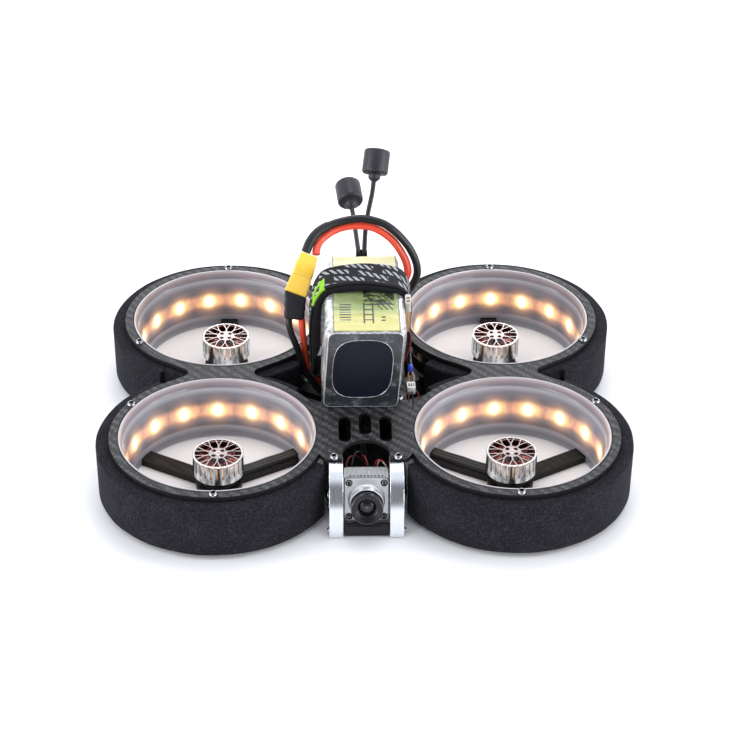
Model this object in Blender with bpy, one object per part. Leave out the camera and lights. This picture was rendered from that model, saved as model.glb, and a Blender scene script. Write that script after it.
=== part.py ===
"""A small camera drone with four ducted rotors, as an assembly of separate pieces.

Two carbon plates hold four translucent ducts, each with a foam bumper, a light strip and a motor.
A camera tilts in an aluminium cage at the front (-Y), the circuit boards sit between the plates,
and a strapped battery pack stands on top. Metres, +Z up; the origin is on the ground, midway
between the four motors.
"""
import math

import bmesh
import bpy
from mathutils import Matrix, Vector

MM = 0.001

# Driving dimensions, in millimetres
MOTOR_X = 63.25             # motor axes left and right of the middle
MOTOR_Y = 47.35             # motor axes before and behind the middle
GAP = 0.3                   # clearance between pieces that touch
ROUND_STEPS = 36            # sides of the large rings

PLATE_TOP = 28.0
PLATE_THICK = 2.0
PLATE_BOTTOM = PLATE_TOP - PLATE_THICK
RING_OUTER = 46.2
RING_HOLE = 42.6
BODY_HALF = 18.6            # half width of the top plate's middle
TAB_FRONT = -69.7           # front edge of the two camera tabs
REAR_EDGE = 64.0
TIP_OFFSET = 14.75          # pocket tips either side of a motor axis
TIP_RADIUS = 3.4
LOWER_THICK = 3.0
LOWER_HALF = 18.0
ARM_HALF = 3.8
ARM_END = 45.0
HUB_RADIUS = 10.0
ARM_ANGLES = (30.0, 150.0, 270.0)   # from the inward direction, towards the neighbouring duct

FOAM_INNER = 45.8
FOAM_OUTER = 51.8
FOAM_THIN = 49.6            # where the front and rear bumpers share the outer pocket
FOAM_BOTTOM = 1.8
FOAM_TOP = 25.7
FOAM_START = 47.0
FOAM_THIN_FROM = 90.0
FOAM_THIN_TO = 122.0
FOAM_END = 331.0

STRIP_INNER = 40.8
STRIP_OUTER = 42.2
STRIP_LOW = 10.0
STRIP_HIGH = 16.0

BELL_RADIUS = 11.0
BELL_TOP = 17.4
BELL_BOTTOM = 7.7

CAMERA_Y = -70.0
CAMERA_Z = 12.06
CAMERA_TILT = 15.5          # degrees up at rest
CAMERA_HALF = 9.3
CAMERA_FRONT = 7.25
CAMERA_BACK = -7.25
BRACKET_IN = 9.75
BRACKET_OUT = 15.75

BATTERY_LEFT = -17.4
BATTERY_RIGHT = 15.1
BATTERY_FRONT = -28.5
BATTERY_REAR = 37.0
BATTERY_BOTTOM = 28.3
BATTERY_TOP = 66.5
STRAP_FRONT = 4.0
STRAP_REAR = 22.0
STRAP_THICK = 2.0

CORNERS = {"front_left": (-1, -1), "front_right": (1, -1), "rear_left": (-1, 1), "rear_right": (1, 1)}
SIDES = {"left": -1, "right": 1}

# Colour, roughness and metallic value of each material
MATERIALS = {
    "carbon": ((0.045, 0.047, 0.05), 0.55, 0.0),
    "foam": ((0.018, 0.018, 0.02), 0.95, 0.0),
    "duct_plastic": ((0.82, 0.80, 0.80), 0.35, 0.0),
    "led": ((1.0, 0.62, 0.22), 0.4, 0.0),
    "winding": ((0.45, 0.12, 0.05), 0.4, 0.7),
    "bell_metal": ((0.72, 0.70, 0.72), 0.25, 1.0),
    "aluminium": ((0.80, 0.82, 0.85), 0.3, 1.0),
    "camera_metal": ((0.42, 0.43, 0.44), 0.4, 0.8),
    "black_plastic": ((0.02, 0.02, 0.022), 0.45, 0.0),
    "black_metal": ((0.03, 0.03, 0.032), 0.35, 0.8),
    "lens_glass": ((0.02, 0.02, 0.03), 0.05, 0.0),
    "battery_wrap": ((0.55, 0.56, 0.56), 0.3, 0.0),
    "webbing": ((0.025, 0.025, 0.03), 0.85, 0.0),
    "black_wire": ((0.02, 0.02, 0.022), 0.4, 0.0),
    "red_wire": ((0.75, 0.05, 0.03), 0.4, 0.0),
    "yellow_plug": ((0.95, 0.55, 0.02), 0.35, 0.0),
    "white_plug": ((0.85, 0.84, 0.80), 0.4, 0.0),
    "circuit_board": ((0.02, 0.03, 0.04), 0.45, 0.0),
    "standoff": ((0.05, 0.05, 0.055), 0.35, 0.8),
}


# ---------------------------------------------------------------- tools

def clear_scene():
    for obj in list(bpy.data.objects):
        bpy.data.objects.remove(obj, do_unlink=True)


def material(name):
    found = bpy.data.materials.get(name)
    if found:
        return found
    colour, roughness, metallic = MATERIALS[name]
    made = bpy.data.materials.new(name)
    made.use_nodes = True
    shader = made.node_tree.nodes["Principled BSDF"]
    shader.inputs["Base Color"].default_value = (*colour, 1.0)
    shader.inputs["Roughness"].default_value = roughness
    shader.inputs["Metallic"].default_value = metallic
    return made


def add_object(name, data, material_name, place=(0, 0, 0), parent=None):
    """Links a mesh or curve as the object `name`, with its origin at `place` (mm)."""
    obj = bpy.data.objects.new(name, data)
    data.materials.append(material(material_name))
    obj.location = Vector(place) * MM
    obj.parent = parent
    bpy.context.scene.collection.objects.link(obj)
    return obj


def finish_mesh(bm, name, smooth_angle=35):
    """Turns a bmesh in millimetres into a mesh in metres with its faces pointing out."""
    bmesh.ops.remove_doubles(bm, verts=bm.verts, dist=0.0005)
    bmesh.ops.dissolve_degenerate(bm, edges=bm.edges, dist=0.0001)
    bmesh.ops.recalc_face_normals(bm, faces=bm.faces)
    bmesh.ops.scale(bm, vec=(MM, MM, MM), verts=bm.verts)
    mesh = bpy.data.meshes.new(name)
    bm.to_mesh(mesh)
    bm.free()
    mesh.shade_smooth()
    mesh.set_sharp_from_angle(angle=math.radians(smooth_angle))
    return mesh


def prism(name, outline, low, high, holes=(), turn=None):
    """An outline with holes, from height low to high; `turn` then turns it into another plane."""
    bm = bmesh.new()
    edges = []
    for loop in (outline, *holes):
        verts = [bm.verts.new((x, y, low)) for x, y in loop]
        edges += [bm.edges.new((a, b)) for a, b in zip(verts, verts[1:] + verts[:1])]
    faces = bmesh.ops.triangle_fill(bm, use_beauty=True, use_dissolve=False, edges=edges)["geom"]
    faces = [f for f in faces if isinstance(f, bmesh.types.BMFace)]
    grown = bmesh.ops.extrude_face_region(bm, geom=faces)["geom"]
    moved = [v for v in grown if isinstance(v, bmesh.types.BMVert)]
    bmesh.ops.translate(bm, vec=(0, 0, high - low), verts=moved)
    if turn:
        bmesh.ops.transform(bm, matrix=turn, verts=bm.verts)
    return finish_mesh(bm, name)


# Local x, y, z become world y, z, x (a side view pushed along X) or world x, z, -y (a front view)
SIDE_VIEW = Matrix(((0, 0, 1, 0), (1, 0, 0, 0), (0, 1, 0, 0), (0, 0, 0, 1)))
FRONT_VIEW = Matrix(((1, 0, 0, 0), (0, 0, -1, 0), (0, 1, 0, 0), (0, 0, 0, 1)))


def turned(name, profile, steps=ROUND_STEPS, closed=False, turn=None):
    """Spins a profile of (radius, height) about Z; a closed one is a ring with a hole."""
    bm = bmesh.new()
    verts = [bm.verts.new((r, 0, z)) for r, z in profile]
    pairs = list(zip(verts, verts[1:]))
    if closed:
        pairs.append((verts[-1], verts[0]))
    edges = [bm.edges.new(pair) for pair in pairs]
    bmesh.ops.spin(bm, geom=verts + edges, axis=(0, 0, 1), cent=(0, 0, 0),
                   angle=math.tau, steps=steps, use_merge=True)
    if turn:
        bmesh.ops.transform(bm, matrix=turn, verts=bm.verts)
    return finish_mesh(bm, name)


def loft(name, sections):
    """Joins sections with the same number of points, and closes both ends."""
    bm = bmesh.new()
    rings = [[bm.verts.new(p) for p in section] for section in sections]
    for ring, after in zip(rings, rings[1:]):
        for i in range(len(ring)):
            j = (i + 1) % len(ring)
            bm.faces.new((ring[i], ring[j], after[j], after[i]))
    bm.faces.new(rings[0])
    bm.faces.new(rings[-1])
    return finish_mesh(bm, name)


def arc(centre, radius, start, end, step=10.0):
    """Points on an arc, both ends included, angles in degrees."""
    count = max(2, round(abs(end - start) / step) + 1)
    angles = [math.radians(start + (end - start) * i / (count - 1)) for i in range(count)]
    return [(centre[0] + radius * math.cos(a), centre[1] + radius * math.sin(a)) for a in angles]


def circle(centre, radius, steps=ROUND_STEPS):
    return arc(centre, radius, 0, 360 - 360 / steps, 360 / steps)


def rounded_box(low, high, radius, step=30.0):
    """A rectangle with round corners, from its low corner to its high corner."""
    (x0, y0), (x1, y1) = low, high
    r = radius
    return (arc((x1 - r, y0 + r), r, -90, 0, step) + arc((x1 - r, y1 - r), r, 0, 90, step)
            + arc((x0 + r, y1 - r), r, 90, 180, step) + arc((x0 + r, y0 + r), r, 180, 270, step))


def slot(x, y_low, y_high, width):
    r = width / 2
    return arc((x, y_high - r), r, 0, 180, 30) + arc((x, y_low + r), r, 180, 360, 30)


def block(name, low, high, edge=0.0):
    """A box between two corners, with its upright edges rounded."""
    outline = [(low[0], low[1]), (high[0], low[1]), (high[0], high[1]), (low[0], high[1])]
    if edge:
        outline = rounded_box(low[:2], high[:2], edge, 45)
    return prism(name, outline, low[2], high[2])


def smooth_route(points, spacing):
    """A smooth curve through hand-placed points, read every `spacing` millimetres."""
    ends = [Vector(p) for p in points]
    ends = [2 * ends[0] - ends[1]] + ends + [2 * ends[-1] - ends[-2]]
    fine = []
    for a, b, c, d in zip(ends, ends[1:], ends[2:], ends[3:]):
        for i in range(20):
            t = i / 20
            fine.append(0.5 * (2 * b + (c - a) * t + (2 * a - 5 * b + 4 * c - d) * t * t
                               + (3 * b - 3 * c + d - a) * t ** 3))
    fine.append(ends[-2])
    lengths = [0.0]
    for a, b in zip(fine, fine[1:]):
        lengths.append(lengths[-1] + (b - a).length)
    count = max(2, round(lengths[-1] / spacing))
    route, k = [], 0
    for i in range(count + 1):
        goal = lengths[-1] * i / count
        while k < len(fine) - 2 and lengths[k + 1] < goal:
            k += 1
        share = (goal - lengths[k]) / (lengths[k + 1] - lengths[k])
        route.append(fine[k].lerp(fine[k + 1], share))
    return route


def tube(name, points, radius, material_name, spacing=None):
    """A round wire or stem as a curve with filled ends."""
    curve = bpy.data.curves.new(name, "CURVE")
    curve.dimensions = "3D"
    route = smooth_route(points, spacing or 5 * radius)
    spline = curve.splines.new("POLY")
    spline.points.add(len(route) - 1)
    for point, place in zip(spline.points, route):
        point.co = (*(place * MM), 1.0)
    curve.bevel_depth = radius * MM
    curve.bevel_resolution = 2
    curve.use_fill_caps = True
    return add_object(name, curve, material_name)


def empty(name, place):
    obj = bpy.data.objects.new(name, None)
    obj.location = Vector(place) * MM
    bpy.context.scene.collection.objects.link(obj)
    return obj


def motor_place(corner):
    sx, sy = CORNERS[corner]
    return (sx * MOTOR_X, sy * MOTOR_Y, 0)


# ---------------------------------------------------------------- plates

def pocket_tip(side):
    """Half of the rounded end of a pocket; side 1 is the outer pocket, -1 the inner one."""
    centre = (MOTOR_X + side * (TIP_OFFSET + TIP_RADIUS), 0)
    if side > 0:
        return arc(centre, TIP_RADIUS, 180, 115, 22)
    return arc(centre, TIP_RADIUS, 0, 65, 22)


def ring_angle(x=None, y=None):
    """The angle from a motor axis at which the ring's outer edge has this x or y."""
    if x is not None:
        return math.degrees(math.acos((x - MOTOR_X) / RING_OUTER))
    return math.degrees(math.asin((y - MOTOR_Y) / RING_OUTER))


def top_plate_rear_half():
    """Right half of the rear outline, from the outer pocket's tip to the middle of the rear edge."""
    join = MOTOR_X + TIP_OFFSET + 2 * TIP_RADIUS
    ring = arc((MOTOR_X, MOTOR_Y), RING_OUTER, -ring_angle(x=join), 180 - ring_angle(y=REAR_EDGE))
    return pocket_tip(1) + ring + [(0, REAR_EDGE)]


def top_plate_front_half():
    """Right half of the front outline, mirrored to +Y: ring, camera tab and the lens notch."""
    join = MOTOR_X + TIP_OFFSET + 2 * TIP_RADIUS
    tab = -TAB_FRONT
    ring = arc((MOTOR_X, MOTOR_Y), RING_OUTER, -ring_angle(x=join), 180 - ring_angle(y=tab - 3.7))
    notch = arc((0, tab - 4.8), 10.0, 0, -90, 15)
    return pocket_tip(1) + ring + [(17.2, tab), (10.0, tab)] + notch


def inner_pocket_half():
    """Upper half of the opening between the right-hand rings, from its tip to the plate's middle."""
    join = MOTOR_X - TIP_OFFSET - 2 * TIP_RADIUS
    ring = arc((MOTOR_X, MOTOR_Y), RING_OUTER, -ring_angle(x=join), -ring_angle(x=20.9))
    return pocket_tip(-1) + ring + [(19.3, 26.0), (BODY_HALF, 23.0)]


def whole_outline(rear, front):
    """A closed outline from its right rear and right front halves, both given with y upwards."""
    right = [(x, -y) for x, y in reversed(front)] + rear[1:]
    left = [(-x, y) for x, y in reversed(right[1:-1])]
    return right + left


def make_top_plate():
    rear, front = top_plate_rear_half(), top_plate_front_half()
    outline = whole_outline(rear, front)
    pocket = inner_pocket_half()
    pocket = pocket + [(x, -y) for x, y in reversed(pocket[1:])]
    holes = [pocket, [(-x, y) for x, y in pocket]]
    holes += [circle(motor_place(corner)[:2], RING_HOLE) for corner in CORNERS]
    holes += [slot(-8.75, -53.8, -36.7, 4.9), slot(0, -48.5, -34.0, 4.9), slot(8.75, -53.8, -36.7, 4.9)]
    holes += [slot(0, 50.0, 60.0, 6.0)]
    add_object("top_plate", prism("top_plate", outline, PLATE_BOTTOM, PLATE_TOP, holes), "carbon")


def star_outline():
    """Right rear part of the lower plate: from the plate's side, round the motor hub and its arms."""
    centre = Vector((MOTOR_X, MOTOR_Y))
    spread = math.degrees(math.asin(ARM_HALF / HUB_RADIUS))
    inward = Vector((-math.cos(math.radians(30)), -math.sin(math.radians(30))))
    across = Vector((-inward.y, inward.x))

    def on_plate_side(side):
        start = centre + side * ARM_HALF * across
        return start + inward * (start.x - LOWER_HALF) / -inward.x

    points = [tuple(on_plate_side(1))]
    for arm in (330, 90):
        direction = Vector((math.cos(math.radians(arm)), math.sin(math.radians(arm))))
        normal = Vector((-direction.y, direction.x))
        points += arc(centre, HUB_RADIUS, arm - 120 + spread, arm - spread, 25)
        points += [tuple(centre + direction * ARM_END - normal * ARM_HALF),
                   tuple(centre + direction * ARM_END + normal * ARM_HALF)]
    points += arc(centre, HUB_RADIUS, 90 + spread, 210 - spread, 25)
    points.append(tuple(on_plate_side(-1)))
    return points


def make_bottom_plate():
    star = star_outline()
    rear = [(LOWER_HALF, 0)] + star + [(LOWER_HALF, 57.0), (15.0, 60.0), (0, 60.0)]
    front = ([(LOWER_HALF, 0)] + star
             + [(LOWER_HALF, 52.0), (16.2, 56.0), (16.2, 66.0), (9.9, 66.0), (9.9, 57.5), (0, 57.5)])
    outline = whole_outline(rear, front)
    add_object("bottom_plate", prism("bottom_plate", outline, 0, LOWER_THICK), "carbon")


# ---------------------------------------------------------------- ducts and bumpers

DUCT_INSIDE = ((41.4, 28.2), (41.2, 25.5), (39.9, 20.5), (39.1, 14.0), (38.8, 5.5), (37.7, 0.0))
DUCT_OUTSIDE = ((38.9, 0.0), (40.1, 6.0), (40.4, 17.5), (42.0, 23.7), (45.4, 23.7), (45.4, 25.7),
                (42.3, 25.7), (42.3, 28.2))


def make_duct(corner):
    """A flared ring with a top flange, notched at the bottom where the three arms pass."""
    sx, sy = CORNERS[corner]
    name = "duct_" + corner
    ring = turned(name, DUCT_INSIDE + DUCT_OUTSIDE, closed=True)
    duct = add_object(name, ring, "duct_plastic", motor_place(corner))
    for i, angle in enumerate(ARM_ANGLES):
        a = math.radians(angle)
        direction = Vector((-sx * math.cos(a), -sy * math.sin(a), 0))
        half = ARM_HALF + GAP
        notch = block("notch", (30.0, -half, -1.0), (48.0, half, LOWER_THICK + GAP))
        cutter = add_object(f"cutter_{corner}_{i}", notch, "duct_plastic", motor_place(corner))
        cutter.rotation_euler.z = math.atan2(direction.y, direction.x)
        cutter.hide_render = True
        cutter.display_type = "WIRE"
        cut = duct.modifiers.new(f"notch_{i}", "BOOLEAN")
        cut.object = cutter
        cut.operation = "DIFFERENCE"


def foam_radius(angle):
    return FOAM_THIN if FOAM_THIN_FROM < angle < FOAM_THIN_TO else FOAM_OUTER


def make_foam(corner):
    """A foam band round the duct, flat where it meets the bumper before or behind it."""
    sx, sy = CORNERS[corner]
    angles = [FOAM_START + i * (FOAM_END - FOAM_START) / 36 for i in range(37)]
    angles += [FOAM_THIN_TO - 0.4, FOAM_THIN_TO + 0.4]
    sections = []
    for angle in sorted(angles):
        outer = foam_radius(angle)
        profile = ((FOAM_INNER, FOAM_BOTTOM), (outer - 1.2, FOAM_BOTTOM), (outer, FOAM_BOTTOM + 1.2),
                   (outer, FOAM_TOP - 1.6), (outer - 1.6, FOAM_TOP), (FOAM_INNER, FOAM_TOP))
        c, s = math.cos(math.radians(angle)), math.sin(math.radians(angle))
        sections.append([(sx * (MOTOR_X - r * c), sy * max(MOTOR_Y - r * s, GAP / 2), z)
                         for r, z in profile])
    name = "foam_bumper_" + corner
    add_object(name, loft(name, sections), "foam")


def make_light_strip(corner):
    """A ring of lights glued round the outside of the translucent duct."""
    name = "light_strip_" + corner
    profile = ((STRIP_INNER, STRIP_HIGH), (STRIP_INNER, STRIP_LOW),
               (STRIP_OUTER, STRIP_LOW), (STRIP_OUTER, STRIP_HIGH))
    add_object(name, turned(name, profile, closed=True), "led", motor_place(corner))


# ---------------------------------------------------------------- motors

def make_motor(corner):
    """The fixed stator with its flange, and the bell with its shaft that spins round it."""
    place = motor_place(corner)
    name = "motor_stator_" + corner
    low = LOWER_THICK + GAP
    stator = ((1.2, 15.0), (1.2, low), (8.2, low), (8.2, low + 1.6), (5.2, low + 3.0), (5.2, 8.2),
              (9.2, 8.2), (9.2, 14.0), (8.4, 15.0))
    add_object(name, turned(name, stator, 24, closed=True), "winding", place)
    name = "motor_bell_" + corner
    bell = ((0, BELL_TOP), (BELL_RADIUS - 0.6, BELL_TOP), (BELL_RADIUS, BELL_TOP - 0.6),
            (BELL_RADIUS, BELL_BOTTOM), (9.7, BELL_BOTTOM), (9.7, 15.7), (0.8, 15.7), (0.8, 4.8), (0, 4.8))
    add_object(name, turned(name, bell, 32), "bell_metal", place)


# ---------------------------------------------------------------- camera

def make_bracket(side):
    """A cage cheek: a curved front bar, a web with the camera's pivot hole, and two feet."""
    sx = SIDES[side]
    front_bar = [(-70.0, 25.7), (-70.0, 26.9), (-71.2, 27.1), (-75.0, 24.8), (-78.2, 21.8),
                 (-80.8, 18.2), (-82.6, 14.5), (-83.8, 10.0), (-84.5, 5.5), (-85.2, 2.2), (-85.2, 0.3)]
    feet = [(-66.4, 0.3), (-66.4, 3.3), (-59.5, 3.3), (-59.5, 5.8), (-66.4, 7.0),
            (-66.4, 21.0), (-61.5, 23.2), (-61.5, 25.7)]
    window = [(-73.6, 22.6), (-76.2, 20.2), (-78.4, 17.0), (-80.0, 13.8), (-81.0, 9.8), (-81.5, 5.2),
              (-80.6, 3.3), (-73.6, 3.3)]
    pivot = circle((CAMERA_Y, CAMERA_Z), 1.25, 12)
    x0, x1 = (BRACKET_IN, BRACKET_OUT) if sx > 0 else (-BRACKET_OUT, -BRACKET_IN)
    name = "camera_bracket_" + side
    cheek = prism(name, front_bar + feet, x0, x1, [window, pivot], SIDE_VIEW)
    add_object(name, cheek, "aluminium")


def make_cross_bar():
    """The dark bar between the cheeks, sloped behind so that the camera can swing over it."""
    outline = [(-84.2, 0.4), (-84.2, 5.4), (-82.5, 5.8), (-75.9, 1.1), (-75.9, 0.4)]
    half = BRACKET_IN - GAP
    add_object("camera_cross_bar", prism("camera_cross_bar", outline, -half, half, turn=SIDE_VIEW),
               "black_plastic")


def make_camera():
    """The tilting camera, built level about its pivot and then tilted up by its parent."""
    pivot = empty("camera_pivot", (0, CAMERA_Y, CAMERA_Z))
    pivot.rotation_euler.x = math.radians(-CAMERA_TILT)
    half = CAMERA_HALF
    fins = []
    for i in range(11):
        x = half - 1.2 - i * (2 * half - 2.4) / 10
        fins += [(x + 0.5, half), (x - 0.5, half), (x - 0.5, half - 1.0), (x - 0.7, half - 1.0)]
    outline = [(-half, -half), (half, -half), (half, half)] + fins[1:-2] + [(-half, half)]
    body = prism("camera_body", outline, CAMERA_BACK, 3.9, turn=FRONT_VIEW)
    add_object("camera_body", body, "camera_metal", parent=pivot)

    plate = rounded_box((-half, -half), (half, half), 2.2, 30)
    face = prism("camera_face_plate", plate, 4.2, CAMERA_FRONT, [circle((0, 0), 6.8, 24)], FRONT_VIEW)
    add_object("camera_face_plate", face, "aluminium", parent=pivot)

    barrel = ((3.7, 4.2), (6.2, 4.2), (6.2, 11.2), (6.7, 12.0), (6.7, 17.2), (6.2, 17.6),
              (5.4, 17.2), (3.7, 15.4))
    barrel = turned("lens_barrel", barrel[::-1], 28, closed=True, turn=FRONT_VIEW)
    add_object("lens_barrel", barrel, "black_metal", parent=pivot)
    glass = ((0, 15.4), (1.8, 15.1), (3.0, 14.3), (3.4, 13.4), (3.4, 9.0), (0, 9.0))
    glass = turned("lens_glass", glass, 20, turn=FRONT_VIEW)
    add_object("lens_glass", glass, "lens_glass", parent=pivot)

    for side, sx in SIDES.items():
        start, neck, end = CAMERA_HALF + GAP, BRACKET_OUT + GAP, BRACKET_OUT + 1.3
        screw = ((0, end), (1.9, end), (1.9, neck), (0.9, neck), (0.9, start), (0, start))
        quarter = Matrix.Rotation(math.radians(90 * sx), 4, "Y")
        name = "camera_pivot_screw_" + side
        add_object(name, turned(name, screw, 12, turn=quarter), "black_metal", parent=pivot)


# ---------------------------------------------------------------- battery and power leads

def make_battery():
    outline = rounded_box((BATTERY_LEFT, BATTERY_BOTTOM), (BATTERY_RIGHT, BATTERY_TOP), 3.4)
    length = BATTERY_REAR - BATTERY_FRONT
    pack = prism("battery_pack", outline, -length / 2, length / 2, turn=FRONT_VIEW)
    add_object("battery_pack", pack, "battery_wrap", (0, (BATTERY_REAR + BATTERY_FRONT) / 2, 0))


# Inside line of the strap, from under the plate up the left side, over the pack and down the right
STRAP_LINE = ((0.0, 25.0), (-14.0, 25.0), (-18.6, 24.2), (-20.8, 23.4), (-21.8, 25.6), (-21.4, 30.0),
              (-20.9, 40.0), (-20.6, 52.0), (-19.8, 60.8), (-16.7, 66.2), (-11.0, 68.2), (-1.2, 69.2),
              (8.6, 68.2), (14.4, 66.4), (17.4, 60.8), (18.2, 52.0), (18.8, 40.0), (19.4, 30.0),
              (20.4, 25.6), (19.6, 23.2), (17.2, 23.6), (13.0, 25.0))


def offset_loop(points, distance):
    """The closed line moved outwards by a distance; the points run clockwise."""
    moved = []
    for i, point in enumerate(points):
        before, after = Vector(points[i - 1]), Vector(points[(i + 1) % len(points)])
        along = (after - before).normalized()
        moved.append((point[0] - along.y * distance, point[1] + along.x * distance))
    return moved


def make_strap():
    inner = list(STRAP_LINE)
    outer = offset_loop(inner, STRAP_THICK)
    half = (STRAP_REAR - STRAP_FRONT) / 2
    strap = prism("battery_strap", outer, -half, half, [inner], FRONT_VIEW)
    add_object("battery_strap", strap, "webbing", (0, (STRAP_FRONT + STRAP_REAR) / 2, 0))


# The plug pair stands left of the strap: its middle line from the lower end to the upper end
PLUG_LOW = Vector((-30.0, 22.0, 55.2))
PLUG_HIGH = Vector((-23.6, 31.6, 70.0))
PLUG_WIDE = Vector((0.932, -0.198, -0.303))
BOOT_LOW = Vector((-30.2, 17.0, 46.6))


def slanted_box(name, low, high, wide, half_wide, half_deep, cut=0.0, top=None):
    """A bar from low to high; its width runs along `wide`, its upper end is square to `top`."""
    axis = (high - low).normalized()
    sections = []
    for end, normal in ((low, axis), (high, top or axis)):
        across = (wide - normal * wide.dot(normal)).normalized()
        deep = normal.cross(across)
        outline = [(-half_wide + cut, -half_deep), (half_wide - cut, -half_deep),
                   (half_wide, -half_deep + cut), (half_wide, half_deep),
                   (-half_wide, half_deep), (-half_wide, -half_deep + cut)]
        sections.append([end + across * x + deep * y for x, y in outline])
    return loft(name, sections)


def make_connectors():
    middle = PLUG_LOW.lerp(PLUG_HIGH, 0.45)
    step = (PLUG_HIGH - PLUG_LOW).normalized() * GAP
    socket = slanted_box("power_socket", PLUG_LOW, middle, PLUG_WIDE, 5.1, 2.7, 1.2)
    add_object("power_socket", socket, "yellow_plug")
    plug = slanted_box("battery_plug", middle + step, PLUG_HIGH, PLUG_WIDE, 4.6, 2.6, 1.2)
    add_object("battery_plug", plug, "yellow_plug")
    along = step.normalized()
    boot = slanted_box("socket_boot", BOOT_LOW, PLUG_LOW - step, PLUG_WIDE, 4.9, 2.9, 1.2, along)
    add_object("socket_boot", boot, "black_plastic")


BLACK_LEAD = ((-25.3, 32.4, 70.9), (-23.2, 35.6, 74.6), (-19.8, 39.0, 77.4), (-14.4, 42.2, 79.2),
              (-7.6, 44.2, 80.4), (0.1, 45.2, 80.8), (8.2, 45.0, 79.0), (13.4, 44.4, 76.0),
              (18.2, 43.8, 71.2), (22.2, 43.2, 65.6), (24.8, 42.4, 59.6), (25.4, 41.8, 54.0),
              (23.6, 41.4, 48.6), (20.2, 41.2, 43.6), (16.4, 41.2, 40.4), (13.4, 40.8, 39.2),
              (12.6, 38.2, 38.9))
RED_LEAD = ((-20.7, 32.4, 69.6), (-20.4, 34.8, 71.4), (-18.6, 39.2, 73.0), (-13.8, 43.4, 75.0),
            (-8.4, 45.4, 76.3), (-2.0, 46.2, 76.7), (4.6, 46.0, 75.9), (10.0, 45.4, 73.2),
            (14.3, 44.8, 69.4), (17.9, 43.8, 64.4), (20.5, 42.6, 58.8), (20.9, 41.8, 53.4),
            (17.8, 41.8, 48.6), (13.8, 41.8, 46.4), (10.6, 41.0, 45.8), (9.8, 38.3, 45.7))
BLACK_PIGTAIL = ((-33.0, 16.4, 46.0), (-33.0, 15.2, 43.0), (-32.0, 14.4, 39.0), (-30.2, 13.6, 34.0),
                 (-28.6, 13.2, 29.4), (-27.6, 12.7, 25.0), (-26.4, 12.0, 20.8), (-23.4, 10.9, 16.8),
                 (-20.8, 10.2, 12.8), (-18.4, 9.2, 9.8), (-15.1, 8.4, 8.8))
RED_PIGTAIL = ((-27.4, 16.3, 46.0), (-27.0, 15.4, 42.0), (-26.8, 15.4, 38.0), (-26.4, 15.8, 33.4),
               (-26.2, 16.0, 29.4), (-25.8, 15.8, 25.0), (-24.4, 15.2, 20.6), (-21.4, 14.6, 17.2),
               (-19.4, 14.2, 13.4), (-17.8, 13.2, 10.0), (-15.1, 12.4, 8.8))
LEAD_RADIUS = 1.8
PIGTAIL_RADIUS = 1.5


def make_leads():
    tube("battery_lead_black", BLACK_LEAD, LEAD_RADIUS, "black_wire", 4.0)
    tube("battery_lead_red", RED_LEAD, LEAD_RADIUS, "red_wire", 4.0)
    tube("power_lead_black", BLACK_PIGTAIL, PIGTAIL_RADIUS, "black_wire", 3.0)
    tube("power_lead_red", RED_PIGTAIL, PIGTAIL_RADIUS, "red_wire", 3.0)


# ---------------------------------------------------------------- antennas

STEM_RADIUS = 1.1
CAP_RADIUS = 6.0
ANTENNAS = {
    # cap middle, direction of the cap, foot of the stem
    "left": (Vector((-5.2, 84.0, 73.0)), Vector((-0.13, 0.92, 0.37)), Vector((-1.25, 45.6, 62.2))),
    "right": (Vector((6.9, 70.0, 96.5)), Vector((0.13, 0.62, 0.77)), Vector((1.15, 45.6, 62.0))),
}


def make_antennas():
    post = [(-3.6, 28.3), (3.6, 28.3), (2.6, 60.4), (-2.6, 60.4)]
    holder = prism("antenna_holder", post, -48.2, -42.4, turn=FRONT_VIEW)
    add_object("antenna_holder", holder, "black_plastic")
    cap = ((0, 5.6), (4.8, 5.6), (CAP_RADIUS, 4.6), (CAP_RADIUS, -4.2), (4.8, -5.6), (3.0, -5.8),
           (2.7, -7.6), (1.6, -9.0), (0, -9.0))
    for side, (middle, direction, foot) in ANTENNAS.items():
        direction = direction.normalized()
        aim = direction.to_track_quat("Z", "Y").to_matrix().to_4x4()
        name = "antenna_cap_" + side
        add_object(name, turned(name, cap, 20, turn=aim), "black_plastic", middle)
        neck = middle - direction * (9.0 + GAP)
        bend = neck - direction * 6.0
        tube("antenna_stem_" + side, (foot, foot.lerp(bend, 0.5), bend, neck), STEM_RADIUS,
             "black_plastic", 6.0)


# ---------------------------------------------------------------- electronics

BOARD_HALF = 14.5
STACK_HALF = 10.0           # square of the stack's four posts
BOARDS = {"esc_board": (8.0, 9.6), "flight_controller": (13.0, 14.6), "video_transmitter": (18.0, 19.6)}


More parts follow.
